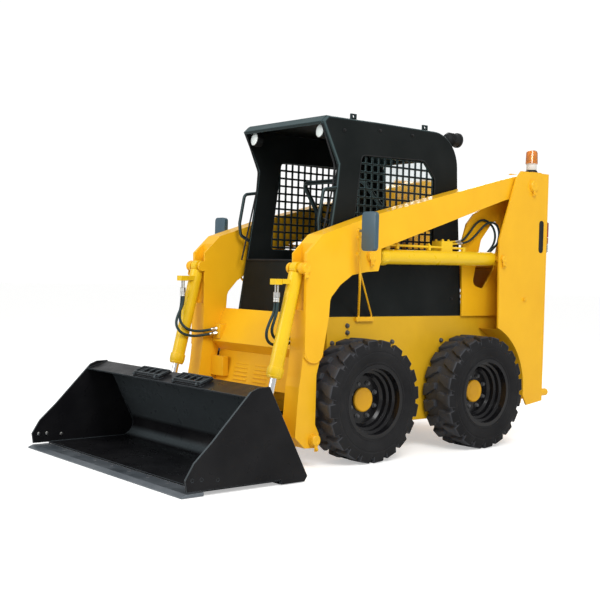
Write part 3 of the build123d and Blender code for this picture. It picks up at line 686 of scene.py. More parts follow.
deselect()
bpy.ops.mesh.primitive_plane_add(size=120)
floor = bpy.context.object
floor.name = "studio_floor"
material = bpy.data.materials.new("studio_floor")
material.use_nodes = True
tree = material.node_tree
shader = tree.nodes["Principled BSDF"]
shader.inputs["Base Color"].default_value = (0.86, 0.86, 0.85, 1)
shader.inputs["Roughness"].default_value = 0.9
glow = tree.nodes.new("ShaderNodeEmission")
glow.inputs["Strength"].default_value = 0.42
both = tree.nodes.new("ShaderNodeAddShader")
tree.links.new(shader.outputs[0], both.inputs[0])
tree.links.new(glow.outputs[0], both.inputs[1])
tree.links.new(white_to_camera(tree, shader.outputs[0], both.outputs[0]),
               tree.nodes["Material Output"].inputs["Surface"])
floor.data.materials.append(material)


def lamp(name, where, towards, size, power, colour=(1, 1, 1)):
    """A square soft lamp at `where`, facing `towards`."""
    aim = (Vector(towards) - Vector(where)).to_track_quat("-Z", "Y").to_euler()
    bpy.ops.object.light_add(type="AREA", location=where, rotation=aim)
    light = bpy.context.object
    light.name = name
    light.data.shape = "SQUARE"
    light.data.size = size
    light.data.energy = power
    light.data.color = colour


lamp("key", (4.6, -2.0, 5.2), (0.2, 0.2, 0.8), 3.0, 265)
lamp("front_fill", (-1.5, -6.5, 3.2), (0, 0, 0.8), 3.5, 150)
lamp("back_rim", (-3.5, 4.5, 4.5), (0, 0, 1.0), 3.0, 130)
bpy.context.scene.view_settings.view_transform = "Standard"
print("stage ready")

# %% [markdown]
# ## Tyres
# A 10-16.5 loader tyre is a stiff carcass with deep slanted bars that meet in a zigzag. The
# carcass is a ring that is extruded and scaled along its section, and one bar is modelled with
# care: a cube that is cut, bent into a zigzag, sloped at the shoulder and bevelled. Forty copies
# go round in two rows, half a pitch apart.

# %% Tyre
TYRE_SECTION = (
    (112, 213), (113.5, 224), (116, 231), (121, 236), (122.5, 243), (120, 248), (123, 256), (127.5, 268),
    (131, 283), (132.6, 297), (132.8, 306), (130, 310), (130, 315), (132.4, 318), (131.5, 328), (127, 342),
    (119, 353), (106, 360), (88, 363), (40, 364.5), (0, 365),
)
LUG_COUNT = 20                   # bars in each of the two rows
LUG_PHASE = radians(4.24)
LUG_TOP = 0.3854                 # radius of the tops of the bars, in metres
# (x, sideways shift, half width) of a bar's zigzag, in metres
KINKS = ((0.009, 0.020, 0.024), (0.030, 0.016, 0.030), (0.048, 0.012, 0.032), (0.072, -0.004, 0.036),
         (0.090, -0.007, 0.040), (0.110, -0.009, 0.043), (0.131, -0.012, 0.046))


def tyre_carcass():
    """The tyre without its bars: a ring that is extruded round its section and closed."""
    section = [*TYRE_SECTION, *((-x, r) for x, r in reversed(TYRE_SECTION[:-1]))]
    return turned("carcass", section + section[:1], segments=96, closed=False)


def tread_bar():
    """One bar on top of the tyre: wide at the shoulder, kinked half way, with a sloping outer end."""
    deselect()
    bpy.ops.mesh.primitive_cube_add(size=1, location=(0.070, 0, 0.3645))
    bar = bpy.context.object
    bar.scale = (0.122, 0.082, 0.043)
    sliced(baked(bar, "bar"), (1, 0, 0), (30, 48, 72, 90, 110))
    for vertex in bar.data.vertices:
        x, shift, half = min(KINKS, key=lambda kink: abs(kink[0] - vertex.co.x))
        side = 1 if vertex.co.y > 0 else -1
        high = vertex.co.z > 0.365
        vertex.co.y = shift + side * (half - (0.006 if high else 0))
        if high:
            vertex.co.z = sqrt(LUG_TOP ** 2 - vertex.co.y ** 2)
            if x > 0.12:
                vertex.co.x, vertex.co.z = 0.119, 0.380
            elif x < 0.02:
                vertex.co.x = 0.013
        elif x > 0.12:
            vertex.co.x, vertex.co.z = 0.1325, 0.316
        else:
            vertex.co.z = 0.352
    return bevelled(outward(bar), 0.0035, 2, 25)


bar = tread_bar()
bars = []
step = 2 * pi / LUG_COUNT
for i in range(LUG_COUNT):
    bars.append(copied(bar, Matrix.Rotation(LUG_PHASE + i * step, 4, "X")))
    bars.append(copied(bar, Matrix.Rotation(LUG_PHASE + (i + 0.5) * step, 4, "X") @ MIRROR))
bpy.data.objects.remove(bar)
tyre = joined([tyre_carcass()] + bars, "tyre_master")
for wheel, y, sign in WHEELS:
    matrix = Matrix.Translation(at(sign * WHEEL_X, y, AXLE_Z)) @ SIDE_TURN[sign]
    piece = copied(tyre, matrix, f"tread_{wheel}")
    finish(piece, "tyre", f"wheel_{wheel}", [f"tyre_{wheel}"])
    axle = at(0, y, AXLE_Z)
    # Painted light: the faces of the tread take the lighter copy of the rubber, as if lit more than the
    # sidewalls
    second_material(piece, "tread_painted_light", lambda c, n: (c - axle).yz.length > 0.349)
bpy.data.objects.remove(tyre)
print("four tyres with", 2 * LUG_COUNT, "bars each")

# %% [markdown]
# ## Wheel nuts and hub caps
# Eight nuts hold each rim. A nut is a six-sided cylinder with a washer under it and a stud end in
# its middle, all turned on the same axis. The ochre hub cap has a pressed rim and a shallow dish.

# %% Wheel nuts and hub caps
NUT_CIRCLE, NUT_SEAT = 110, 566  # radius of the circle of nuts, and x of the face they sit on
wheel_nut = nut("wheel_nut", 24, 14)
cap = turned("cap_master", [(566, 77), (579, 77), (583, 74), (586, 68), (585.5, 64), (583.5, 60), (583.8, 30),
                            (584, 0)], 56)
for wheel, y, sign in WHEELS:
    hub = Matrix.Translation(at(0, y, AXLE_Z)) @ SIDE_TURN[sign]
    spots = [Vector(spot) / 1000 for spot in circle_x(NUT_SEAT, 0, 0, NUT_CIRCLE, 8, 22.5)]
    nuts = [copied(wheel_nut, hub @ Matrix.Translation(spot)) for spot in spots]
    finish(joined(nuts, f"wheel_nuts_{wheel}"), "dark_steel", f"wheel_{wheel}")
    piece = copied(cap, hub, f"pressed_cap_{wheel}")
    finish(piece, "hub", f"wheel_{wheel}", [f"hub_cap_{wheel}"])
for master in (cap, wheel_nut):
    bpy.data.objects.remove(master)
print("nuts and caps on four wheels")

# %% [markdown]
# ## Mirrors
# The mirror stands on a cranked yellow tube with a thin brace down to the chassis. The shell is a
# box whose corners are rounded by an edge bevel, and the face that looks back is inset twice, once
# for the rim and once for the sunk glass.

# %% Mirrors
MIRROR_X = 0.773                 # x of the left mirror's middle, in metres
stand = pipe("stand", [(446, -464, 892), (446, -464, 915), (634, -634, 1140), (652, -668, 1440)], 8, 60)
brace = pipe("brace", [(446, -351, 892), (446, -351, 912), (632, -630, 1180)], 6, 30)
foot = bevelled(box("foot", (432.5, 452), (-484, -330), (870, 900)), 0.003)
clamps = [bevelled(box("clamp", (640, 664), (-682, -656), (z - 9, z + 9)), 0.002) for z in (1300, 1400)]
knob = lathe("knob", [(0, 5), (3, 13), (11, 15), (20, 12), (25, 5), (26, 0)], (652, -668, 1430), UPWARDS, 20)
pair([stand, brace, foot, knob] + clamps, "mirror_stand", "yellow", "chassis")
shell = box("shell", (714, 832), (-706, -676), (1315, 1552))
round_corners(shell, 1, 0.026, 6)
inset(shell, lambda c, n: n.y > 0.9, 0.005, 0)
inset(shell, lambda c, n: n.y > 0.9 and abs(c.x - MIRROR_X) < 0.045, 0.002, -0.004)
bevelled(shell, 0.004, 3, 60)
arm = pipe("arm", [(652, -668, 1438), (690, -680, 1438), (722, -690, 1436)], 7, 12)
pad = lathe("pad", [(0, 16), (6, 16), (8, 13)], (716, -690, 1436), (-1, 0, 0), 20)
for obj in pair([shell, arm, pad], "mirror_head", "mirror_shell", "chassis", ["mirrors"]):
    obj.data.materials.append(MATERIALS["glass_silver"])
    pick(obj, lambda c, n: n.y > 0.95 and abs(abs(c.x) - MIRROR_X) < 0.05 and c.z > 1.33)
    for face in obj.data.polygons:
        # The glass is the one large face that looks back
        face.material_index = 1 if face.select and face.area > 0.002 else 0
print("two mirrors on their stands")

# %% [markdown]
# ## Beacon
# The beacon is turned from rings like a bowl on a potter's wheel: a dark rubber foot, a white
# ring, an amber dome and a bright reflector inside it. The dome's ribs, which spread the light, are
# made by drawing in every second slice of its wall.

# %% Beacon
BEACON = (530, 1142, 0)
FOOT_Z, DOME_TOP = 1948, 2110
RIBS, RIB_DEPTH = 72, 0.055
foot = lathe("beacon_foot", [(FOOT_Z, 45), (1951, 45), (1958, 42), (1966, 36)], BEACON, UPWARDS)
finish(foot, "plastic", "chassis")
band = lathe("beacon_base", [(1964, 35), (1968, 37), (2004, 37), (2006, 41), (2012, 42), (2013, 38)], BEACON,
             UPWARDS)
finish(band, "white_band", "chassis")
dome = lathe("beacon_dome", [(2012, 44), (2016, 44.8), (2020, 43.5), (2090, 41), (2102, 37), (2108, 28),
                             (DOME_TOP, 12), (DOME_TOP, 0)], BEACON, UPWARDS, RIBS)
centre = at(*BEACON)
for vertex in dome.data.vertices:
    away = (vertex.co - centre).xy
    slice_number = round(atan2(away.y, away.x) / (2 * pi / RIBS))
    if slice_number % 2 and 2.019 < vertex.co.z < 2.103:
        vertex.co.x -= away.x * RIB_DEPTH
        vertex.co.y -= away.y * RIB_DEPTH
finish(dome, "amber", "chassis", ["beacon"])
reflector = lathe("beacon_lamp", [(2014, 20), (2020, 24), (2060, 22), (2080, 14), (2084, 0)], BEACON,
                  UPWARDS, 24)
finish(reflector, "zinc", "chassis")
print("beacon stands", DOME_TOP - FOOT_Z, "mm tall")

# %% [markdown]
# ## Work lamps
# Two lamps under the front lip of the roof light the bucket. They are turned shells, drawn out in
# height and tipped a little, each with a stem and a nut. The two lamps behind the cab light the way
# back, and have cooling fins, a clear lens and a guard of bent wire.

# %% Work lamps
LAMP_HEIGHT = 1.2                # a front lamp's height over its width


def heightened(obj, middle):
    """Draws out the height of a front lamp's piece about its middle."""
    for vertex in obj.data.vertices:
        vertex.co.z = middle.z + (vertex.co.z - middle.z) * LAMP_HEIGHT
    return obj


ahead = Vector((0, -sin(radians(80)), cos(radians(80))))
front = at(341, -712, 2066)
shell = placed(turned("shell", [(-30, 24), (-28, 30), (-10, 35), (20, 38), (29, 38), (30, 36), (30, 34),
                                (24, 33)], 40), front, ahead)
stem = pipe("stem", [(341, -708, 2090), (341, -708, 2134)], 8, 1)
nuts = lathe("nuts", [(2098, 12), (2106, 14), (2112, 12)], (341, -708, 0), UPWARDS, 6)
pair([heightened(shell, front), stem, nuts], "front_lamp", "plastic", "chassis", ["work_lights"])
glass = turned("glass", [(20, 36), (30, 36), (33, 32), (36, 22), (38, 8), (38.5, 0)], 40)
placed(glass, front, ahead)
pair(heightened(glass, front), "front_lens", "frosted", "chassis")

x, z = 330, 2139                 # the rear lamp's axis
body = lathe("body", [(430, 22), (434, 34), (446, 41), (520, 46), (541, 47), (542, 52), (558, 52), (560, 50),
                      (560, 46), (552, 45)], (x, 0, z), BACKWARDS, 48)
fins = [lathe("fin", [(y, 47), (y + 3, 47)], (x, 0, z), BACKWARDS) for y in range(456, 497, 10)]
bars = [pipe("bar", [(x + dx, 561, z - dz), (x + dx, 566, z), (x + dx, 561, z + dz)], 2, 20)
        for dx, dz in ((-24, 42), (0, 48), (24, 42))]
bars.append(pipe("bar", [(x - 48, 561, z), (x, 566, z), (x + 48, 561, z)], 2, 30))
post = bevelled(box("post", (318, 342), (436, 462), (2020, 2102)), 0.003)
pair([body, post] + fins + bars, "rear_lamp", "plastic", "chassis")
glass = lathe("glass", [(548, 45), (553, 44), (557, 30), (559, 12), (559.5, 0)], (x, 0, z), BACKWARDS)
pair(glass, "rear_lens", "clear_lens", "chassis")
print("two front and two rear work lamps")

# %% [markdown]
# ## Tail lamps and the slot's painted shade
# A tail lamp is a box in a rubber frame, with one lens for reversing, one for the turn signal and
# one for the brake light. Each lens is crowned, and lightly ribbed so that its light spreads. A dark
# capsule on the tower's outer plate is painted shade, standing for the shaded inside of its slot.

# %% Tail lamps and the slot's painted shade
frame_box = bevelled(box("frame", (596, 630), (1215.5, 1224), (1365, 1591)), 0.003)
inset(frame_box, lambda c, n: n.y > 0.9 and abs(c.x - 0.613) < 0.004, 0.004, -0.003)
pair(smooth(frame_box), "tail_frame", "plastic", "chassis", ["tail_lamps"])
TAIL_LENSES = (
    ("reverse", "clear_lens", "fitting_steel", 1372, 1428),
    ("turn", "amber", "amber_lens", 1431, 1476),
    ("brake", "red_lens", "red_lens", 1479, 1584),
)
for name, material, record_slot, low, high in TAIL_LENSES:
    cover = box("lens", (599, 628), (1219, 1239.5), (low, high))
    with editing(cover):
        bpy.ops.mesh.subdivide(number_cuts=7)
    for vertex in cover.data.vertices:
        across = (vertex.co.x - 0.6135) / 0.0145
        if vertex.co.y > at(0, 1239, 0).y:
            vertex.co.y -= 0.005 * across * across + 0.0006 * (round(vertex.co.z * 1000 / 6) % 2)
    pair(smooth(cover, 60), f"tail_{name}", material, "chassis")
# Painted shade: a dark plastic capsule, sunk a little in its middle, stands for the shaded inside of the slot
slot_shade_patch = box("slot_shade_patch", (631.6, 635), (1122, 1170), (1362, 1594))
round_corners(slot_shade_patch, 0, 0.022, 8)
inset(slot_shade_patch, lambda c, n: n.x > 0.9, 0.006, -0.0022)
pair(smooth(slot_shade_patch), "painted_slot_shade", "plastic", "chassis")
print("two tail lamps with", len(TAIL_LENSES), "lenses each, and two painted_slot_shades")

# %% [markdown]
# ## Seat
# The seat is two foam cushions in vinyl. Each begins as a rounded box that is remeshed into even
# faces. Cloth under light air pressure then swells it like foam, while the seams are pinned so
# that they stay down. The move is capped, and a thin piping closes the edge.

# %% Seat
MOST_SWELLING = 0.010            # metres


def cushion(name, x, y, z, lean, seams):
    """A crowned cushion: a box in millimetres, swollen except along its seams, then leaned."""
    pad = bevelled(box(name, x, y, z), 0.024, 4)
    focus(pad)
    pad.data.remesh_voxel_size = 0.011
    bpy.ops.object.voxel_remesh()
    start = [vertex.co.copy() for vertex in pad.data.vertices]
    bottom = at(0, 0, z[0] + 16).z
    held = [v.index for v in pad.data.vertices
            if v.co.z < bottom or any(abs(v.co.x * 1000 - seam) < 7 for seam in seams)]
    pinned = pad.vertex_groups.new(name="pinned")
    pinned.add(held, 1.0, "REPLACE")
    cloth = pad.modifiers.new("cloth", "CLOTH")
    cloth.settings.use_pressure = True
    cloth.settings.uniform_pressure_force = 4
    cloth.settings.vertex_group_mass = "pinned"
    cloth.settings.effector_weights.gravity = 0
    cloth.settings.quality = 5
    cloth.point_cache.frame_start = 1
    cloth.point_cache.frame_end = 20
    for number in range(1, 21):
        bpy.context.scene.frame_set(number)
    focus(pad)
    bpy.ops.object.modifier_apply(modifier="cloth")
    bpy.context.scene.frame_set(1)
    for vertex, before in zip(pad.data.vertices, start):
        move = vertex.co - before
        if move.length > MOST_SWELLING:
            vertex.co = before + move.normalized() * MOST_SWELLING
    for vertex in pad.data.vertices:
        if vertex.co.z > bottom and any(abs(vertex.co.x * 1000 - seam) < 5 for seam in seams):
            vertex.co.z -= 0.003
    corner = at(0, y[0], z[0])
    pad.data.transform(Matrix.Translation(-corner))
    pad.data.transform(Matrix.Rotation(radians(lean), 4, "X"))
    pad.data.transform(Matrix.Translation(corner))
    pad.vertex_groups.clear()
    focus(pad)
    pad.modifiers.new("soft", "SUBSURF").levels = 1
    bpy.ops.object.modifier_apply(modifier="soft")
    bpy.ops.object.shade_smooth()
    return pad


base = cushion("seat_cushion", (-208, 208), (-268, 140), (838, 900), -2.5, (-96, 96))
finish(base, "vinyl", "chassis", ["seat"])
back = cushion("seat_back", (-200, 200), (150, 560), (890, 960), 74, (-90, 90))
finish(back, "vinyl", "chassis")
tray = bevelled(box("tray", (-214, 214), (-262, 250), (831, 842)), 0.004)
shell = bevelled(box("shell", (-190, 190), (268, 300), (850, 1240)), 0.012)
piping = pipe("piping", [(-204, -262, 846), (204, -262, 846), (204, 130, 846), (-204, 130, 846)], 4, 40, True)
finish(joined([tray, shell, piping], "seat_pan"), "plastic", "chassis")
print("seat of", len(base.data.vertices) + len(back.data.vertices), "points")

# %% [markdown]
# ## Control levers
# A lever is a slim steel rod in a rubber bellows, with a moulded grip on top. The bellows is
# turned from a zigzag of rings, which is the quickest way to get folds of even depth.

# %% Control levers
folds = [(491, 46)]
for i in range(7):
    folds += [(499 + 15 * i, 42 - 4 * i), (506 + 15 * i, 32 - 3 * i)]
boot = lathe("boot", folds + [(604, 13), (606, 9)], (260, -430, 0), UPWARDS, 28)
rod = pipe("rod", [(260, -430, 500), (260, -416, 800), (260, -400, 1100)], 8, 80)
grip = lathe("grip", [(0, 12), (4, 17), (16, 19), (34, 16), (52, 18), (70, 22), (88, 24), (100, 20),
                      (106, 10), (107, 0)], (260, -401, 1068), (0, 0.05, 1), 28)
pair(boot, "lever_boot", "plastic", "chassis", ["control_levers"])
pair(grip, "lever_grip", "plastic", "chassis")
pair(rod, "lever_rod", "dark_steel", "chassis")
print("two levers")

# %% [markdown]
# ## Pins and bolts of the frame
# Every pivot shows the end of its pin: a turned head, a keeper plate and the bolt that holds it.
# Smaller bolts hold the guards and the cab's feet. All heads are copies of one bolt, each turned a
# little, because no fitter ever lines them up.

# %% Pins and bolts
def pin_head(where, x, radius):
    """The end of a pin on the outer face x at (y, z): head, keeper plate and its bolt."""
    y, z = where
    head = lathe("pin", [(0, radius), (5, radius), (8, radius - 3), (8, radius * 0.45), (6.5, radius * 0.4),
                         (6.5, 0)], (x, y, z), segments=36)
    below = z - radius
    plate = bevelled(box("plate", (x + 0.2, x + 6), (y - 13, y + 13), (below - 34, below + 8)), 0.003)
    return [head, plate, bolts("keeper", 17, [(x + 6, y, below - 20)])]


PIN_FACE = 619                   # outer face of the arm's bosses
tower = pin_head(LIFT_PIVOT, 642, 40) + pin_head(LIFT_BASE, 640, 26)
tower.append(bolts("bolt", 22, [(TOWER_FACE, 974, 1025)]))
pair(tower, "tower_pins", "yellow", "chassis")
arm = pin_head(TILT_BASE, PIN_FACE, 30) + pin_head(LIFT_EYE, PIN_FACE, 30)
pair(arm, "arm_pins", "yellow", "arms")
low = pin_head(BUCKET_PIVOT, PIN_FACE, 32)
pair(low, "bucket_pins", "yellow", "bucket")
tub_spots = ((-548, 844), (-546, 800), (-674, 735), (-144, 733), (330, 733))
tub = bolts("bolts", 24, [(432, y, z) for y, z in tub_spots])
pair(tub, "tub_bolts", "dark_steel", "chassis")
ring = [spot for y in (-AXLE_Y, AXLE_Y) for spot in circle_x(454, y, 385.4, 78, 6, 30)]
pair(bolts("axle", 20, ring), "axle_bolts", "dark_steel", "chassis")
print("pins,", len(tub_spots), "tub bolts and", len(ring), "axle bolts on each side")

# %% [markdown]
# ## Welds
# The plates of the arms and towers are welded. A bead is a thin pipe whose section swells and
# shrinks every few millimetres, as a welder's hand does, and it lies in the corner between two
# plates, half sunk in both.

# %% Welds
def bead(points, radius, bend=1, closed=False, ripple=4):
    """A weld bead along points in millimetres."""
    return pipe("bead", points, radius, bend, closed, ripple)


arm = [bead(circle_x(ARM_FACE, *pin, 34.5), 3.2, closed=True) for pin in (TILT_BASE, LIFT_EYE)]
foot_route = ((-1038, 700), (-1005, 640), (-950, 632), (-908, 655), (-893, 700))
arm.append(bead([(ARM_FACE, y, z) for y, z in foot_route], 2.5, 20))
pair(arm, "arm_welds", "weld", "arms")
beam = [bead([(463, -868, 917), (463, -962, 702), (463, -887, 634)], 3.5, 8, ripple=5),
        bead([(463, -933, 424), (463, -896, 634)], 3, ripple=5)]
pair(beam, "beam_welds", "weld", "arms")
# The bracket that the tilt hoses end at is welded to the cross member
bracket = bevelled(box("bracket", (374.5, 421), (-966.8, -914.5), (717.4, 815.6)), 0.004)
pair(bracket, "hose_bracket", "yellow", "arms")
tower = [bead(circle_x(TOWER_FACE, *LIFT_PIVOT, 46.5), 3, closed=True),
         bead([(617, 1201, 300), (617, 1201, 1920)], 3, ripple=6),
         bead([(451, 1199, 600), (451, 1199, 1920)], 3, ripple=6),
         bead([(433, 1003, 570), (433, 1003, 895)], 3, ripple=6)]
pair(tower, "tower_welds", "weld", "chassis")
print("welds laid")

# %% [markdown]
# ## Glands of the cylinders
# A hydraulic cylinder ends in a gland, a turned nut with raised grips for a hook spanner, and a
# rubber wiper. `on_cylinder` gives places along the leaning axis, so that each piece is made lying
# on the X axis and then laid along the cylinder.

# %% Glands and the rod's weld
# base pin, eye pin, barrel radius, rod radius and barrel length
CYLINDERS = {
    "lift": ((LIFT_X, *LIFT_BASE), (LIFT_X, *LIFT_EYE), 52, 25, 1130),
    "tilt": ((TILT_X, *TILT_BASE), (TILT_X, *TILT_EYE), 47, 21, 672),
}
GRIPS = 6


def on_cylinder(kind, distance):
    """A place on a cylinder's axis, so far from its base pin, and the axis itself."""
    base, eye = (Vector(place) for place in CYLINDERS[kind][:2])
    way = (eye - base).normalized()
    return tuple(base + way * distance), way


for kind, (base, eye, radius, rod, length) in CYLINDERS.items():
    place, way = on_cylinder(kind, length - 9)
    gland = [lathe("gland", [(-58, radius - 3), (-57, radius + 1.5), (-50, radius + 2.5), (-14, radius + 2.5),
                             (-8, radius), (-6, radius - 5), (1, radius - 6), (3, rod + 9), (5, rod + 4),
                             (6, rod + 1)], place, way, 48)]
    place, way = on_cylinder(kind, length - 53)
    for i in range(GRIPS):
        grip = bevelled(box("grip", (-30, 30), (-3, 3), (-1.5, 1.5)), 0.0008, 1)
        grip.data.transform(Matrix.Translation(-at(0, 0, 0)))
        grip.data.transform(Matrix.Scale(0.5, 4, (1, 0, 0)))
        grip.data.transform(Matrix.Translation((0.010, 0, (radius + 2.2) / 1000)))
        grip.data.transform(Matrix.Rotation(i * 2 * pi / GRIPS, 4, "X"))
        gland.append(placed(grip, at(*place), way))
    pair(gland, f"{kind}_gland", "cylinder", f"{kind}_barrel_{{side}}")
# The lift rod's eye is welded on. The tilt rod's eye comes close to its gland, and has no room
reach = (Vector(CYLINDERS["lift"][1]) - Vector(CYLINDERS["lift"][0])).length
place, way = on_cylinder("lift", reach + 6)
collar = lathe("bead", [(-44, 25), (-42, 29), (-38, 30), (-34, 28), (-31, 25)], place, way)
pair(collar, "lift_rod_weld", "weld", "lift_rod_{side}")
print("glands on four cylinders")

# %% [markdown]
# ## Clamps and hose fittings
# The steel tube on the lift cylinder is held by two clamps, and its port block by four bolts. A hose
# ends in a crimped ferrule and a hexagon nut. Their places are read from the routes of the hoses, so
# that they stay together when a route is moved.

# %% Clamps and fittings
straps = []
for y in (-240, 60):
    straps.append(bevelled(box("strap", (526, 554), (y, y + 22), (1343, 1380)), 0.004))
    straps.append(bolts("bolt", 13, [(LIFT_X, y + 11, 1380)], UPWARDS))
straps.append(bolts("block", 16, [(x, y, 1412) for x in (470, 530) for y in (215, 272)], UPWARDS))
pair(straps, "tube_clamps", "cylinder", "lift_barrel_{side}")
starts, lean = [route[0] for route in LIFT_HOSES.values()], (0, -1, -0.098)
nuts = [lathe("nut", [(-34, 8.2), (-32, 9.2), (-6, 9.2), (-4, 8.2)], (x, y - 35, z - 3.4), lean, 6)
        for x, y, z in starts]
nuts += [lathe("ferrule", [(-26, 8.4), (-24, 9.2), (-2, 9.2), (0, 8.4)], start, lean, 20) for start in starts]
pair(nuts, "lift_fittings", "zinc", "lift_barrel_{side}")
ports = [(*route[0][:2], 0) for route in TILT_HOSES.values()]
ends = [lathe("nut", [(1024, 11), (1026, 13.5), (1052, 13.5), (1054, 11)], port, UPWARDS, 6)
        for port in ports]
ends += [lathe("ferrule", [(996, 9.6), (998, 11.6), (1003, 11.8), (1004, 11.2), (1010, 11.2), (1011, 11.8),
                           (1017, 11.8), (1018, 11.2), (1023, 11.4)], port, UPWARDS, 24) for port in ports]
for route in TILT_HOSES.values():
    start, end = route[-2:]
    way = (Vector(end) - Vector(start)).normalized()
    ends.append(lathe("ferrule", [(-2, 10), (0, 12.6), (24, 12.8), (26, 11.6)], end, way, 24))
    ends.append(lathe("nut", [(28, 12), (30, 14.5), (48, 14.5), (50, 12)], end, way, 6))
pair(ends, "tilt_fittings", "zinc", "arms")
print("clamps and hose fittings done")

# %% [markdown]
# ## Bucket
# The lip carries two steps of round bar, so that a boot does not slip when the driver climbs in.
# The cutting edge is held by plough bolts, whose flat heads lie flush, and the side plates by
# round-headed bolts with nuts inside. Long weld beads join the side plates to the sheet.

# %% Bucket details
steps = []
for x0, x1 in ((-336, -30), (113, 418)):
    rail = [(x0 + 6, -1572, 556), (x0 + 6, -1646, 530), (x1 - 6, -1646, 530), (x1 - 6, -1572, 556)]
    steps.append(pipe("rail", rail, 7, 22, True))
    for part in (0.28, 0.5, 0.72):
        x = x0 + (x1 - x0) * part
        steps.append(pipe("rung", [(x, -1573, 557), (x, -1645, 531)], 5))
    steps.append(bolts("bolt", 15, [(x, -1660, 516) for x in (x0 + 30, x1 - 30)], (0, -0.33, 0.94)))
finish(joined(steps, "bucket_steps"), "bucket", "bucket")
edge = [lathe("plough", [(0, 12), (1.6, 11), (1.8, 6), (1.2, 5), (1.2, 0)], (x, -1975, 21.6), UPWARDS, 20)
        for x in range(-800, 801, 200)]
finish(joined(edge, "edge_bolts"), "dark_steel", "bucket")
spots = ((-2016, 90), (-1959, 89), (-1856, 78))
heads = [lathe("head", [(-0.5, 17), (2, 16), (4, 12), (5, 0)], (893, *spot), segments=24) for spot in spots]
pair(heads, "bucket_side_bolts", "bucket", "bucket")
inner = [lathe("nut", [(0, 10), (1, 12), (9, 12), (10, 10)], (886, *spot), (-1, 0, 0), 6) for spot in spots]
pair(inner, "bucket_side_nuts", "zinc", "bucket")
SEAM_X = 885.5
corner_route = ((-1690, 33), (-1330, 33.5), (-1280, 60), (-1490, 480))
seam = [bead([(SEAM_X, y, z) for y, z in corner_route], 3.2, 60, ripple=6),
        bead([(SEAM_X, -1930, 33), (SEAM_X, -1690, 33)], 3.2, ripple=6)]
pair(seam, "bucket_welds", "bucket", "bucket")
print("two steps,", len(edge), "edge bolts, side bolts and welds")

# %% [markdown]
# ## Coupler
# Two locks hold the bucket to the coupler: each is a wedge with a bent handle and a coil spring. They
# lie on the bucket's leaning back, so `on_back` turns a place measured along that back into one in
# the frame.

# %% Coupler details
# The back's foot, and its directions up and out, as (y, z)
BACK_FOOT, BACK_UP, BACK_OUT = (-1239, 37), (-0.4856, 0.8742), (0.8742, 0.4856)
LOCK_X, LOCK_OUT = 330, 24
COILS, COIL_POINTS, COIL_STEP, COIL_RADIUS = 6, 10, 2.2, 17


def on_back(x, up, out):
    """A place on the bucket's back: so far up it and out from it."""
    return (x, *(foot + up * u + out * o for foot, u, o in zip(BACK_FOOT, BACK_UP, BACK_OUT)))


lock = [pipe("wedge", [on_back(LOCK_X, 105, LOCK_OUT), on_back(LOCK_X, 330, LOCK_OUT)], 11),
        pipe("handle", [on_back(LOCK_X, 320, 26), on_back(300, 400, 46), on_back(215, 470, 62)], 8, 30)]
spring = []
for i in range(COILS * COIL_POINTS):
    angle = i * 2 * pi / COIL_POINTS
    aside, out = COIL_RADIUS * cos(angle), COIL_RADIUS * sin(angle)
    spring.append(on_back(LOCK_X + aside, 150 + i * COIL_STEP, LOCK_OUT + out))
lock.append(pipe("spring", spring, 2.2, 2, sides=2))
lock += [lathe("collar", [(0, 17), (12, 17), (14, 14)], on_back(LOCK_X, up, LOCK_OUT), (0, *BACK_UP), 24)
         for up in (130, 290)]
pair(lock, "coupler_lock", "dark_steel", "bucket")
plate_bolts = bolts("bolts", 18, [on_back(610, up, 14) for up in (110, 240)], (0, *BACK_OUT))
pair(plate_bolts, "coupler_bolts", "dark_steel", "bucket")
print("two coupler locks with springs")

# %% [markdown]
# ## Cab trim
# The cab is a welded box of sheet. A rubber strip closes the cut edge of each side window and of
# the door, and a pressed frame goes round the roof's hatch. The cab's outer bolts are set last.

# %% Cab trim
window = [(424.5, y, z) for y, z in ((-532, 1330), (-452, 1938), (125, 1952), (232, 1840), (240, 1330))]
pair(pipe("strip", window, 4, 34, True), "window_strip", "plastic", "chassis")
doorway = [(396, y, z) for y, z in ((-782, 1250), (-667, 1730), (-658, 1860), (-772, 2106))]
pair(pipe("seal", doorway, 6, 20), "door_seal", "plastic", "chassis")
sill = pipe("sill_strip", [(-392, -742, 1253), (392, -742, 1253)], 7, 1)
finish(sill, "plastic", "chassis")
hatch = [(-214, -624, 2178), (214, -624, 2178), (214, -246, 2178), (-214, -246, 2178)]
finish(pipe("hatch_frame", hatch, 6, 34, True), "cab", "chassis")
ribs = [pipe("rib", [(x, -560, 2162), (x, 150, 2162)], 7, 1) for x in (-320, -270, 270, 320)]
finish(joined(ribs, "roof_ribs"), "cab", "chassis")
print("strips, hatch frame and", len(ribs), "roof ribs")

# %% [markdown]
# ## Rear window
# The rear window is a pane in a rubber seal. The wall it sits in leans, and bends over into the
# roof, so the flat pane is sliced across and each slice is moved to the wall at its height.

# %% Rear window and cab bolts
BEND_Z, BEND_RADIUS = 1925, 240


def rear_face(z):
    """y of the rear wall's outer face at a height, with the bend into the roof above BEND_Z."""
    y = 545 - 0.0835 * (z - 902) if z < 1800 else 470 - 0.05 * (z - 1800)
    return y if z < BEND_Z else y - BEND_RADIUS + sqrt(BEND_RADIUS ** 2 - (z - BEND_Z) ** 2)


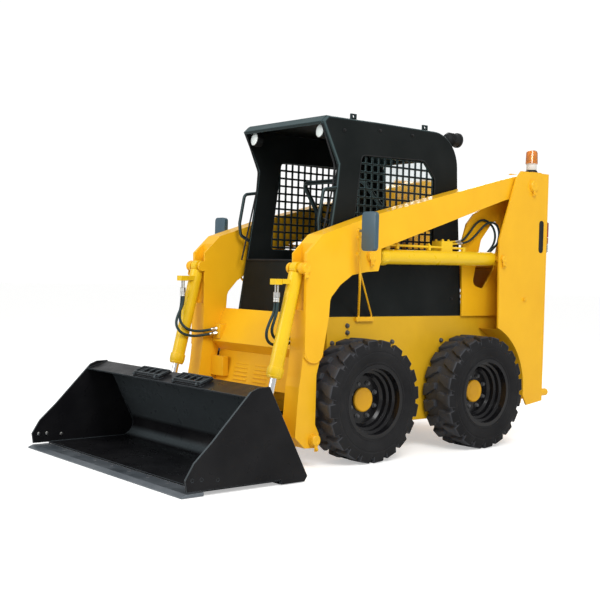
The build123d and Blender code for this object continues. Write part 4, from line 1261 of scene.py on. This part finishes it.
pane = box("rear_pane", (-297, 297), (-2, 2), (1353, 1995))
sliced(pane, (0, 0, 1), (1500, 1650, 1800, 1925, 1945, 1965, 1982))
for vertex in pane.data.vertices:
    vertex.co.y += (rear_face(vertex.co.z * 1000) - 14) / 1000
finish(smooth(pane), "window", "chassis")
levels = (1350, 1600, 1800, 1925, 1960, 1998)
route = [(300, rear_face(z) - 2, z) for z in levels] + [(-300, rear_face(z) - 2, z) for z in reversed(levels)]
finish(pipe("rear_seal", route, 8, 24, True), "plastic", "chassis")
stud_spots = ((-700, 1020), (-690, 1240), (-610, 2080), (-300, 2110), (0, 2110), (400, 1240), (430, 1020))
studs = bolts("studs", 17, [(425, y, z) for y, z in stud_spots])
pair(studs, "cab_bolts", "plastic", "chassis")
print("rear window and", len(stud_spots), "bolts on each side of the cab")

# %% [markdown]
# ## Louvres
# Pressed louvres in the plate between the arms let the air through. Each is a low arch, made from a
# box whose front edge is narrowed and lowered.

# %% Louvres
ROWS, ROW_HEIGHT, ROW_STEP = 5, 0.026, 0.0056          # a row stands higher and further back, in metres


def louvre(x, y, z, width, deep, high, lean):
    """A pressed louvre, open along one long side."""
    piece = box("louvre", (x - width / 2, x + width / 2), (y - deep, y), (z, z + high))
    middle = at(x, y, z)
    for vertex in piece.data.vertices:
        if vertex.co.y < middle.y - 0.001:
            vertex.co.x = middle.x + (vertex.co.x - middle.x) * 0.9
            if vertex.co.z > middle.z + 0.001:
                vertex.co.z -= lean / 1000
    return bevelled(piece, 0.002, 2)


slats = []
for column in (-190, 20):
    for row in range(ROWS):
        slat = louvre(column, -922, 0, 150, 8, 13, 7)
        slat.data.transform(Matrix.Translation((0, row * ROW_STEP - 0.005, 0.455 + row * ROW_HEIGHT)))
        slats.append(slat)
finish(joined(slats, "front_louvres"), "yellow", "arms")
print(len(slats), "louvres")

# %% [markdown]
# ## Tail door and hood
# The tail door has a paddle latch and two hinges with their bolts, and the hood turns on two pins.
# A raised rim runs round both. These pieces ride with the door and the hood when they open.

# %% Latch, hinges and rims
latch = [bevelled(box("latch", (318, 384), (1213.5, 1218), (842, 968)), 0.003),
         bevelled(box("paddle", (334, 368), (1229, 1234), (856, 954)), 0.004)]
for z in (600, 1170):
    latch.append(lathe("pin", [(z - 36, 5), (z - 34, 7), (z - 30, 7), (z - 29, 5), (z + 31, 5), (z + 32, 8),
                               (z + 37, 8), (z + 38, 5)], (-432, 1224, 0), UPWARDS, 20))
    latch.append(bolts("bolt", 13, [(-415, 1219, z - 16), (-415, 1219, z + 16), (-395, 1219, z)], BACKWARDS))
edge = [(-418, 1214, 492), (418, 1214, 492), (418, 1214, 1278), (-418, 1214, 1278)]
door_rim = pipe("door_rim", edge, 5, 24, True)
finish(joined(latch, "door_latch"), "dark_steel", "tail_door")
finish(door_rim, "yellow", "tail_door")
edge = [(-424, 580, 1331), (424, 580, 1331), (424, 1172, 1266), (-424, 1172, 1266)]
hood_rim = pipe("hood_rim", edge, 5, 20, True)
pins = [lathe("pin", [(x - 46, 6), (x - 44, 9), (x - 41, 9), (x - 40, 5), (x + 40, 5), (x + 41, 9),
                      (x + 45, 9)], (0, 576, 1342), segments=20) for x in (-300, 300)]
finish(hood_rim, "yellow", "hood")
finish(joined(pins, "hood_pins"), "dark_steel", "hood")
print("latch, hinges and rims")
